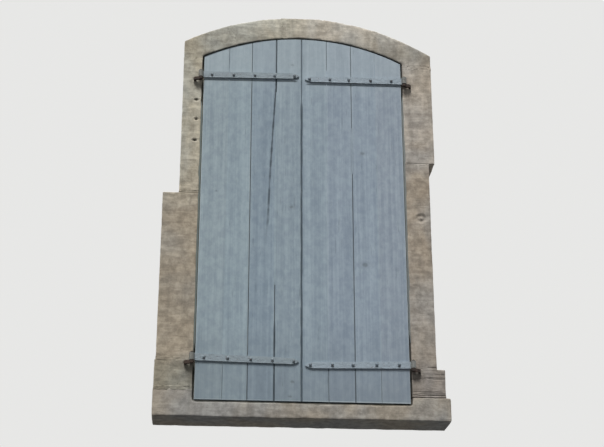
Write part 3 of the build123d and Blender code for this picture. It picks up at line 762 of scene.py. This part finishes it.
print("paint mixed")

# %% [markdown]
# ## Knots
#
# A knot bleeds through every coat: a dull heart, a little sunk, with a faint halo round it. Both
# are wider than they are high, and their rims are ragged.

# %% Knots
KNOT_HALO = rgb(110, 120, 126)
KNOT_HEART = rgb(84, 94, 100)
# Place and half-width of each knot
KNOTS = {
    "left_board_1": [(-0.47, 1.25, 0.006)],
    "left_board_4": [
        (-0.060, 1.170, 0.015), (-0.055, 0.190, 0.014), (-0.066, 0.112, 0.012),
        (-0.060, 2.045, 0.013),
    ],
    "right_board_2": [(0.330, 1.505, 0.016), (0.335, 0.845, 0.020)],
    "right_board_4": [(0.15, 0.44, 0.006)],
}


def add_knots(f, knots):
    for x, z, size in knots:
        ragged = f.times(f.math("SUBTRACT", f.chalk, 0.5), 1.6)
        away = f.math("ADD", f.distance(x, z, size, size / 1.5), ragged)
        heart = f.ramp(away, 1.15, 0.45, 0.0, 0.48)
        f.cover(f.ramp(away, 2.6, 1.0, 0.0, 0.14), KNOT_HALO)
        f.cover(heart, KNOT_HEART)
        f.lower(heart, 0.8)


print(sum(len(knots) for knots in KNOTS.values()), "knots")

# %% [markdown]
# ## Rubbed arrises, splashed foot
#
# Paint goes pale where it is rubbed and renewed, along the arrises of each board and at its foot.
# Rain splashes the lowest half metre dark, and the sun has bleached the head.

# %% Rubbed arrises, splashed foot
LEAF_FRONT = -0.102
LEAF_BACK = -0.070
TONGUE = 0.008
RUBBED = rgb(176, 188, 192)
SPLASHED = rgb(106, 116, 123)
BLEACHED = rgb(168, 181, 188)
SPLASH_HEIGHT = 0.50
# How pale the outer and the inner arris of a board are
PALE_EDGES = {
    "left_board_1": (0.5, 0.25), "left_board_2": (0.0, 0.75), "left_board_3": (0.15, 0.3),
    "left_board_4": (0.0, 0.7), "right_board_4": (0.25, 0.1), "right_board_1": (0.6, 0.25),
}
OTHER_EDGES = (0.25, 0.25)


def on_front(f):
    """1 on the outer face of a leaf, 0 from a few millimetres behind it."""
    return f.ramp(f.y, LEAF_FRONT + 0.004, LEAF_FRONT + 0.002)


def rub_arrises(f, name):
    low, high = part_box(name)
    tongue = 0.0 if name.endswith("4") else TONGUE
    on_left = name.startswith("left")
    places = (low.x, high.x - tongue) if on_left else (high.x, low.x + tongue)
    for x, strength in zip(places, PALE_EDGES.get(name, OTHER_EDGES)):
        broken = f.ramp(f.streaks, 0.30, 0.5, 0.3 * strength, strength)
        f.cover(f.times(f.ramp(f.away(f.x, x), 0.0055, 0.0015), broken), RUBBED)


def weather(f, foot):
    splash = f.ramp(f.z, foot + SPLASH_HEIGHT, foot, 0.0, 0.46)
    f.cover(f.times(splash, f.ramp(f.patches, 0.25, 0.7, 0.7, 1.0)), SPLASHED)
    f.cover(f.ramp(f.z, 1.80, 2.05, 0.0, 0.42), BLEACHED)
    more_on_the_right = f.ramp(f.x, -0.1, 0.25, 0.2, 0.6)
    at_foot = f.ramp(f.z, foot + 0.0075, foot + 0.0035)
    f.cover(f.times(at_foot, on_front(f), more_on_the_right), RUBBED)


print("foot splashed for", SPLASH_HEIGHT, "m")

# %% [markdown]
# ## Dirt in the seams, and painted shade
#
# Dirt gathers where water stands: in the seams and on both sides of them. The same dark colour is
# painted as shade on the narrow faces of the boards and along the boards' heads under the arch on
# the left, and as a painted shadow line below each upper strap.

# %% Dirt in the seams, and painted shade
SEAM_DIRT_AND_SHADE = rgb(42, 56, 65)
# A painted shadow line lies this far below the middle of each upper strap
STRAP_SHADOW_DROP = 0.0315
# Each stain has its place, its half-width, its lowest and highest point, and its strength
STAINS = {
    "left_board_1": [(-0.4146, 0.003, 2.05, 2.30, 0.6), (-0.4146, 0.002, 0.05, 0.27, 0.5)],
    "left_board_2": [(-0.2868, 0.004, 0.05, 2.00, 0.5)],
    "left_board_3": [(-0.1505, 0.0045, 1.90, 2.30, 0.7), (-0.1505, 0.0045, 0.05, 0.50, 0.7)],
    "left_board_4": [
        (-0.1475, 0.0035, 1.90, 2.30, 0.55), (-0.1475, 0.004, 0.05, 0.50, 0.65),
        (-0.0085, 0.0060, 0.0, 1.80, 0.75), (-0.0085, 0.0060, 1.86, 2.3, 0.25),
    ],
    "right_board_4": [
        (-0.0055, 0.0050, 0.0, 1.80, 0.75), (-0.0055, 0.0050, 1.86, 2.3, 0.25),
        (0.1340, 0.0025, 0.05, 0.27, 0.6),
    ],
    "right_board_3": [
        (0.1340, 0.0025, 2.05, 2.30, 0.4), (0.2710, 0.003, 0.05, 1.36, 0.28),
        (0.2710, 0.007, 1.38, 1.66, 0.18),
    ],
    "right_board_2": [(0.2735, 0.003, 0.05, 1.36, 0.28), (0.2735, 0.007, 1.38, 1.66, 0.18)],
}


def soil_and_shade(f, *shares):
    f.cover(f.times(*shares), SEAM_DIRT_AND_SHADE)


def shade_and_soil_edges(f, foot):
    """Painted shade and dirt on the narrow faces, with less of it on the end grain at the foot."""
    soil_and_shade(f, f.ramp(f.y, LEAF_FRONT + 0.0010, LEAF_FRONT + 0.0035),
         f.ramp(f.y, LEAF_BACK - 0.0010, LEAF_BACK - 0.0035),
         f.ramp(f.z, foot + 0.0005, foot + 0.004, 0.30, 0.75))


# Painted shade: a dark band along the boards' heads under the arch, on the left, thickens the
# arch's shadow line.
def shade_board_heads(f):
    reach = f.distance(0, REBATE_CENTRE)
    soil_and_shade(f, f.ramp(reach, REBATE_RADIUS - 0.0150, REBATE_RADIUS - 0.0115), on_front(f),
         f.ramp(f.x, -0.15, -0.35, 0.0, 0.8))


def soil_seams(f, stains):
    broken = f.ramp(f.noise(f.stretch(90, 90, 9), 1.0, 4, 0.6), 0.30, 0.55, 0.35, 1.0)
    for x, half, low, high, strength in stains:
        soil_and_shade(f, f.ramp(f.away(f.x, x), half * 1.3, half * 0.6),
             f.ramp(f.z, low - 0.03, low + 0.03, 0.0, strength),
             f.ramp(f.z, high + 0.03, high - 0.03), broken, on_front(f))


def paint_shadow_below_strap(f, strap):
    """A painted shadow line along the middle of a strap, moved down below it, from its tip
    outwards.
    """
    corners = per_point(nodes[strap].data, "co")
    on_leaf = corners[np.abs(corners[:, 0]) < 0.53]
    slope, height_at_0 = np.polyfit(on_leaf[:, 0], on_leaf[:, 2], 1)
    tip = np.abs(corners[:, 0]).min()
    line = f.math("MULTIPLY_ADD", f.x, slope, height_at_0 - STRAP_SHADOW_DROP)
    soil_and_shade(f, f.ramp(f.away(f.z, line), 0.0060, 0.0025, 0.0, 0.75),
         f.ramp(f.away(f.x), tip, tip + 0.02), on_front(f))


print(sum(len(stains) for stains in STAINS.values()), "stained seams")

# %% [markdown]
# ## The split
#
# The left leaf's third board has split. The split starts at the seam beside it, below the upper
# strap, and drifts into the board on its way down. The drawn board has the crack itself, and the
# dirt on its lips follows the same line.

# %% The split
SPLIT_BOARD = "left_board_3"
CRACK_START = -0.1489
# How far the crack has drifted at each height
CRACK_DRIFT = [
    (0.935, 0.055), (1.085, 0.041), (1.385, 0.030), (1.685, 0.015), (1.935, 0.0), (2.3, 0.0),
]


def soil_split(f):
    drift = f.courses(f.z, [(at, (d, d, d, 1)) for at, d in CRACK_DRIFT])
    off = f.away(f.x, f.math("SUBTRACT", CRACK_START, drift))
    gaping = f.ramp(f.noise(f.stretch(0, 0, 11), 1.0, 3, 0.5), 0.38, 0.60, 0.25, 1.0)
    soil_and_shade(f, f.ramp(off, 0.0085, 0.0038, 0.0, 0.72), f.ramp(f.z, 0.93, 1.15),
         f.ramp(f.z, 1.97, 1.94), gaping, on_front(f))


print("the split drifts by", CRACK_DRIFT[0][1], "m")

# %% [markdown]
# ## Boards, ledges and braces painted
#
# Each board gets the same steps in the same order, in a paint that has faded a little differently
# from its neighbour's. The ledges and braces stay dry, so they have the paint alone, and its
# grain is turned to run along each brace.

# %% Boards, ledges and braces painted
PAINTS = {
    "left_board_1": rgb(143, 158, 166), "left_board_2": rgb(144, 160, 169),
    "left_board_3": rgb(134, 150, 162), "left_board_4": rgb(140, 155, 165),
    "right_board_4": rgb(143, 158, 169), "right_board_3": rgb(141, 155, 168),
    "right_board_2": rgb(144, 158, 171), "right_board_1": rgb(144, 156, 168),
}
LEDGE_PAINT = rgb(140, 154, 163)
BRACE_LEAN = 0.8


def painted_board(name, paint):
    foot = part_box(name)[0].z
    f = brushed_paint(name, paint)
    add_knots(f, KNOTS.get(name, ()))
    rub_arrises(f, name)
    weather(f, foot)
    shade_and_soil_edges(f, foot)
    shade_board_heads(f)
    soil_seams(f, STAINS.get(name, ()))
    paint_shadow_below_strap(f, "upper_" + name.split("_")[0] + "_strap")
    if name == SPLIT_BOARD:
        soil_split(f)
    return f.close(**PAINT_SHEEN)


for name, paint in PAINTS.items():
    dress([name], painted_board(name, paint))
ledges = [n for n in nodes if n.endswith("_ledge")]
dress(ledges, painted_wood("painted_ledges", LEDGE_PAINT, along="X"))
braces = [n for n in nodes if n.endswith("_brace")]
for name in braces:
    low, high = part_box(name)
    slope = math.atan2(high.z - low.z, (high.x - low.x) * BRACE_LEAN)
    turn = slope if name.startswith("left") else -slope
    dress([name], painted_wood(name, LEDGE_PAINT, along="X", turn=turn))
print(len(PAINTS), "boards,", len(ledges), "ledges and", len(braces), "braces painted")

# %% [markdown]
# ## Strips
#
# Paint and dirt fill a narrow gap as a long bead. Each bead is built as a strip: a row of
# four-cornered rings, one for every centimetre or so, joined up and closed at both ends. The
# rings may differ, so the bead can wander and thin out as a real one does.

# %% Strips
def strip(mesh, rings):
    """A closed strip through a row of four-cornered rings."""
    rows = [[mesh.verts.new(corner) for corner in ring] for ring in rings]
    faces = []
    for one, two in zip(rows, rows[1:]):
        for k in range(4):
            after = (k + 1) % 4
            faces.append(mesh.faces.new((one[k], one[after], two[after], two[k])))
    faces += [mesh.faces.new(rows[0][::-1]), mesh.faces.new(rows[-1])]
    bmesh.ops.recalc_face_normals(mesh, faces=faces)


def add_piece(made, name, finish, body):
    """Makes a piece of a mesh under construction and hangs it on its body."""
    mesh = bpy.data.meshes.new(name)
    made.to_mesh(mesh)
    made.free()
    piece = bpy.data.objects.new(name, mesh)
    link(piece)
    mesh.materials.append(finish)
    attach(piece, body)
    print(name, "has", len(mesh.polygons), "faces")


def add_strips(name, strips, finish, body):
    made = bmesh.new()
    for rings in strips:
        strip(made, rings)
    add_piece(made, name, finish, body)


def thinning(low, high, at):
    """1 along most of a strip, falling to 0 over the last 5 cm at each end."""
    return max(0.0, min(1.0, (at - low) / 0.05, (high - at) / 0.05))


print("strips can be drawn")

# %% [markdown]
# ## Seams that paint has closed
#
# Many coats have filled the narrow seams for most of their length, so only the wide ones show as
# lines. The filling is a thin bead of paint in the groove. Its face wanders from flush to a hair
# below, and where it ends the open seam shows again.

# %% Paint in the seams
# Place, lowest and highest point of each filling
SEAM_FILLS = {
    "left": [(-0.4146, 0.27, 2.02), (-0.1489, 0.72, 1.88)],
    "right": [(0.1339, 0.27, 2.03), (0.4076, 0.30, 2.10), (0.2723, 1.38, 1.66)],
}
FIRST_SEED = {"left": 0.5, "right": 7.5}
BEAD_HALF_WIDTH = 0.0030
BEAD_DEPTH = 0.004
BEAD_STEP = 0.01


def bead(x, low, high, seed):
    for z in np.arange(low, high, BEAD_STEP):
        wander = noise.noise(Vector((seed, 0, z * 16)))
        front = max(0.0004 + 0.0007 * wander + 0.0015 * (1 - thinning(low, high, z)), -0.0002)
        shape = ((-1, BEAD_DEPTH), (-1, front), (1, front), (1, BEAD_DEPTH))
        yield [(x + u * BEAD_HALF_WIDTH, LEAF_FRONT + y, z) for u, y in shape]


for side, seams in SEAM_FILLS.items():
    beads = [bead(*seam, number + FIRST_SEED[side]) for number, seam in enumerate(seams)]
    paint = painted_wood(side + "_seam_paint", PAINTS[side + "_board_2"])
    add_strips(side + "_seam_paint", beads, paint, side + "_leaf")

# %% [markdown]
# ## Crust on the meeting edges
#
# On the two edges that meet, paint and dirt have built up into a crust, which closes the line
# between the leaves as far as their swing allows. The crust's dark colour is partly painted shade
# of that line.

# %% Crust on the meeting edges
# From each leaf's edge to as near the other leaf as the swing allows
CRUSTS = {"left": (-0.0087, -0.0073), "right": (-0.0065, -0.0053)}
CRUST_FRONT = -0.1005
CRUST_BACK = -0.0900
CRUST_FOOT = 0.094
CRUST_HEAD = 2.198
# Painted shade: the crust's dark colour stands in for the shade of the meeting gap as well as dirt.
CRUST_PAINT_AND_GAP_SHADE = rgb(78, 97, 110)
STRIP_STEP = 0.012


def crust(edge, reach):
    for z in np.arange(CRUST_FOOT, CRUST_HEAD, STRIP_STEP):
        back = CRUST_BACK + 0.0015 * noise.noise(Vector((edge * 900, 3, z * 20)))
        front = CRUST_FRONT + 0.0008
        shape = ((edge, CRUST_FRONT), (reach, front), (reach, back), (edge, back + 0.0006))
        yield [(x, y, z) for x, y in shape]


for side, reach in CRUSTS.items():
    paint = painted_wood(side + "_edge_crust", CRUST_PAINT_AND_GAP_SHADE)
    add_strips(side + "_edge_crust", [crust(*reach)], paint, side + "_leaf")

# %% [markdown]
# ## Dirt and painted shade beside and below the leaves
#
# Between the hinges, and along the foot, limewash and dirt have run into the rebate. That strip
# stays on the stone when the leaves swing away, and turns the black gap beside them into a grey
# line. Beside the leaves that grey is partly painted shade of the gap, and along the foot the
# rebate's painted shade lies over it.

# %% Dirt and painted shade beside and below the leaves
# Side, lowest and highest point, and colour of the dirt and painted shade beside each leaf
GAP_FILLS_WITH_SHADE = {
    "left": (-1, 0.345, 1.800, rgb(100, 108, 103)),
    "right": (1, 0.420, 1.880, rgb(112, 117, 115)),
}
IN_THE_STONE = 0.5705
NEAR_THE_LEAF = 0.5577
FILL_FRONT = -0.0972
FILL_BACK = -0.0880
FOOT_FILL = rgb(146, 145, 137)
FOOT_END = 0.566
# Thickness of the dirt on the rebate's floor, from left to right
FOOT_PLACES = (-0.56, -0.3, 0.0, 0.3, 0.56)
FOOT_THICK = (0.0056, 0.0048, 0.0024, 0.0022, 0.0032)


def gap_dirt_and_shade(side, low, high):
    for z in np.arange(low, high, STRIP_STEP):
        open_end = 1 - thinning(low, high, z)
        uneven = noise.noise(Vector((side * 5, 1, z * 9)))
        front = FILL_FRONT + 0.0012 * uneven + 0.003 * open_end
        near = NEAR_THE_LEAF + 0.0009 * (uneven + 1) + 0.006 * open_end
        shape = ((IN_THE_STONE, front), (near, front + 0.0008), (near, FILL_BACK),
                 (IN_THE_STONE, FILL_BACK))
        yield [(side * x, y, z) for x, y in shape]


def foot_dirt():
    below = REBATE_FLOOR - 0.005
    for x in np.arange(-FOOT_END, FOOT_END + 0.001, STRIP_STEP):
        top = REBATE_FLOOR + np.interp(x, FOOT_PLACES, FOOT_THICK)
        top += 0.0008 * noise.noise(Vector((x * 12, 4, 0)))
        shape = ((FILL_FRONT, below), (FILL_FRONT, top - 0.0006), (FILL_BACK, top),
                 (FILL_BACK, below))
        yield [(x, y, z) for y, z in shape]


# Painted shade: the strips' grey stands in for the shade of the gaps beside the leaves, with dirt.
for side, (sign, low, high, colour) in GAP_FILLS_WITH_SHADE.items():
    dirt = painted_wood(side + "_gap_dirt_and_shade", colour)
    add_strips(side + "_gap_dirt_and_shade", [gap_dirt_and_shade(sign, low, high)], dirt, "surround")
dirt = limestone("foot_gap_dirt_and_shade", FOOT_FILL)
add_strips("foot_gap_dirt_and_shade", [foot_dirt()], dirt, "surround")

# %% [markdown]
# ## Iron, painted and rusted
#
# The straps and rivets share the boards' colour, but their paint lies over hammered iron: broad
# shallow facets, and rust where it has chipped. The hammering is a cellular noise, and the chips
# are a noise that is cut off sharply. The top of a strap is dusty and paled as a painted highlight,
# its underside is painted dark as shade, and lime from the stone dulls its outer end. The pintles
# and keepers were never painted well, and are brown with a fine scale.

# %% Iron, painted and rusted
RUST_DARK, RUST_LIGHT = rgb(62, 44, 34), rgb(112, 70, 44)
LIMY = rgb(112, 111, 104)
TOP_HIGHLIGHT_AND_DUST = rgb(188, 199, 204)
UNDERSIDE_SHADE = rgb(56, 64, 69)
SKIN_DARK, SKIN_LIGHT = rgb(38, 34, 32), rgb(68, 54, 46)
SCALE = rgb(98, 76, 64)


def painted_iron(name, paint, chipped=0.62, rough=0.5, limy_beyond=0.0, dust_highlight_and_shade=0.0):
    """Paint on hammered iron, which has fewer chips the higher the noise has to be for one."""
    f = Finish(name)
    blows = f.add("ShaderNodeTexVoronoi", {"feature": "SMOOTH_F1"}, Vector=f.place, Scale=85.0,
                  Smoothness=0.6).outputs[0]
    duller = (*(c * 0.88 for c in paint[:3]), 1)
    f.colour = f.mix(f.ramp(f.noise(f.place, 22.0, 4, 0.6), 0.3, 0.7), duller, paint)
    if limy_beyond:
        f.cover(f.ramp(f.away(f.x), limy_beyond - 0.006, limy_beyond, 0.0, 0.85), LIMY)
    # Painted highlight and dust on the faces that look up, painted shade on the faces that look
    # down.
    if dust_highlight_and_shade:
        f.cover(f.ramp(f.lean(), 0.15, 0.7, 0.0, dust_highlight_and_shade), TOP_HIGHLIGHT_AND_DUST)
        f.cover(f.ramp(f.lean(), -0.3, -0.7, 0.0, 0.8), UNDERSIDE_SHADE)
    rust = f.mix(f.ramp(f.noise(f.place, 90.0, 3), 0.35, 0.65), RUST_DARK, RUST_LIGHT)
    bare = f.ramp(f.noise(f.place, 150.0, 6, 0.65), chipped, chipped + 0.04)
    f.cover(bare, rust)
    f.height = f.weighed((blows, 0.8), (bare, -0.35))
    return f.close(rough, depth=0.0016, shine=0.4)


def rusty_iron(name):
    f = Finish(name)
    cloud = f.noise(f.place, 60.0, 5, 0.65)
    scale = f.noise(f.place, 300.0, 4, 0.6)
    f.colour = f.mix(f.ramp(cloud, 0.32, 0.68), SKIN_DARK, SKIN_LIGHT)
    f.cover(f.ramp(scale, 0.6, 0.7, 0, 0.5), SCALE)
    f.height = f.weighed((cloud, 0.6), (scale, 0.4))
    return f.close(rough=0.8, depth=0.0015, shine=0.3)


print("painted and rusted iron ready")

# %% [markdown]
# ## The ironwork finished
#
# The two leaves have faded unequally, so each has its own paint for its straps, and a darker one
# for its rivets, which is partly dirt and partly painted shade of their heads. The lock, which
# hands have polished, is smoother.

# %% The ironwork finished
STRAP_PAINTS = {"left": rgb(139, 152, 160), "right": rgb(150, 164, 175)}
RIVET_PAINTS_WITH_SHADE = {"left": rgb(108, 120, 127), "right": rgb(86, 99, 108)}
LOCK_PAINT = rgb(118, 130, 136)
STRAPS_LIMY_BEYOND = 0.562
LOCK_ENDINGS = ("turning_rod", "_pin", "_handle", "_catch", "_claw", "_rod_bearing")

for side, paint in STRAP_PAINTS.items():
    straps = [n for n in nodes if side in n and n.endswith(("_strap", "_roves"))]
    finish = painted_iron(side + "_strap_paint", paint, limy_beyond=STRAPS_LIMY_BEYOND, dust_highlight_and_shade=0.45)
    dress(straps, finish)
# Painted shade: the rivets' darker paint stands in for the shade on their heads as well as dirt.
for side, paint in RIVET_PAINTS_WITH_SHADE.items():
    dress([side + "_strap_rivets"], painted_iron(side + "_rivet_paint", paint, chipped=0.56))
dress([n for n in nodes if n.endswith(("_pintle", "_keeper"))], rusty_iron("rusted_iron"))
lock = [n for n in nodes if n.endswith(LOCK_ENDINGS)]
dress(lock, painted_iron("painted_lock", LOCK_PAINT, chipped=0.60, rough=0.45))
print("straps, rivets and pintles finished, and a lock of", len(lock), "irons")

# %% [markdown]
# ## A screw
#
# The inner face is held with slotted screws. Each is a low dome with a slot across it: a square
# grid of points is pressed into a disc and raised, and the points in the slot are held down.

# %% A screw
GRID = 14
DOME = 0.42
SLOT_HALF_WIDTH = 0.16
SLOT_FLOOR = 0.35
DRIVEN_IN = 0.0003


def seat(name, x, z):
    """Where a line from the room meets a node."""
    tree = BVHTree.FromObject(nodes[name], bpy.context.evaluated_depsgraph_get())
    return tree.ray_cast(Vector((x, 0.5, z)), Vector((0, -1, 0)))[0]


def add_screw(mesh, place, radius, turn):
    height = radius * DOME
    rows = []
    for i in range(GRID + 1):
        row = []
        for j in range(GRID + 1):
            u, v = 2 * i / GRID - 1, 2 * j / GRID - 1
            across, along = u * math.sqrt(1 - v * v / 2), v * math.sqrt(1 - u * u / 2)
            out = height * math.sqrt(max(0.0, 1 - across ** 2 - along ** 2))
            if abs(across) < SLOT_HALF_WIDTH:
                out = min(out, height * SLOT_FLOOR)
            x = across * math.cos(turn) - along * math.sin(turn)
            z = across * math.sin(turn) + along * math.cos(turn)
            row.append(mesh.verts.new(place + Vector((x * radius, out - DRIVEN_IN, z * radius))))
        rows.append(row)
    for one, two in zip(rows, rows[1:]):
        for j in range(GRID):
            mesh.faces.new((one[j], one[j + 1], two[j + 1], two[j])).smooth = True


print("a screw has", GRID * GRID, "faces")

# %% [markdown]
# ## Where the screws go
#
# A joiner sets the screws of a ledge or a brace in a zigzag, so that no two split the same
# fibres. A rod bearing has one at each end, and the catch has one below.

# %% Where the screws go
WOOD_SCREW = 0.0045
PLATE_SCREW = 0.0038
ALONG_THE_BRACE = (-0.34, -0.17, 0.0, 0.17, 0.34)
BRACE_REACH = 0.80


def zigzag(number, off):
    """Every other screw on the other side of the middle."""
    return off if number % 2 else -off


def ledge_screws(name):
    low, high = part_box(name)
    for number, x in enumerate(np.arange(low.x + 0.040, high.x - 0.030, 0.068)):
        yield name, x, (low.z + high.z) / 2 + zigzag(number, 0.036), WOOD_SCREW


def brace_screws(name):
    corners = per_point(nodes[name].data, "co")[:, [0, 2]]
    centre = (corners.min(0) + corners.max(0)) / 2
    off, run = np.linalg.eigh(np.cov((corners - centre).T))[1].T
    for number, share in enumerate(ALONG_THE_BRACE):
        x, z = centre + run * share * BRACE_REACH + off * zigzag(number, 0.022)
        yield name, x, z, WOOD_SCREW


def bearing_screws(name):
    low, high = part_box(name)
    for x in (low.x + 0.0105, high.x - 0.0105):
        yield name, x, (low.z + high.z) / 2, PLATE_SCREW


def screws_of(side):
    for name in [n for n in ledges if n.startswith(side)]:
        yield from ledge_screws(name)
    for name in [n for n in braces if n.startswith(side)]:
        yield from brace_screws(name)
    if side == "left":
        low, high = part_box("handle_catch")
        yield "handle_catch", (low.x + high.x) / 2, low.z + 0.009, PLATE_SCREW
    else:
        for name in [n for n in nodes if n.endswith("_rod_bearing")]:
            yield from bearing_screws(name)


print("screws", WOOD_SCREW * 2, "m across in the wood,", PLATE_SCREW * 2, "m in the plates")

# %% [markdown]
# ## The screws driven
#
# Each is set where a ray from the room meets the wood or the plate. The slots point every way, as
# hand-driven ones do, and they were painted in with the leaves.

# %% The screws driven
chance = np.random.default_rng(11)
screw_paint = painted_iron("painted_screws", rgb(122, 134, 141), chipped=0.55)
for side in ("left", "right"):
    made = bmesh.new()
    count = 0
    for name, x, z, radius in screws_of(side):
        place = seat(name, x, z)
        if place is not None:
            add_screw(made, place, radius, chance.uniform(0, math.pi))
            count += 1
    add_piece(made, side + "_screws", screw_paint, side + "_leaf")
    print(side, count, "screws")

# %% [markdown]
# ## Softened arrises
#
# Nothing here has a knife edge: plane, brush and hammer round every one. The forged straps are
# rounded most, and their upper arris draws a pale line of light.

# %% Soft arrises
WOOD_ARRIS = 0.0007
STRAP_ARRIS = 0.0022
OTHER_ARRIS = 0.0009
SHARPER_THAN = math.radians(35)

for name in nodes:
    if name in worn or name == "mortar_joints":
        continue
    wooden = "_board_" in name or name.endswith(("_ledge", "_brace"))
    iron = STRAP_ARRIS if name.endswith("_strap") else OTHER_ARRIS
    soften = nodes[name].modifiers.new("soft_arris", "BEVEL")
    soften.width = WOOD_ARRIS if wooden else iron
    soften.segments = 2
    soften.limit_method = "ANGLE"
    soften.angle_limit = SHARPER_THAN
print("arrises softened by", WOOD_ARRIS, "to", STRAP_ARRIS, "m")
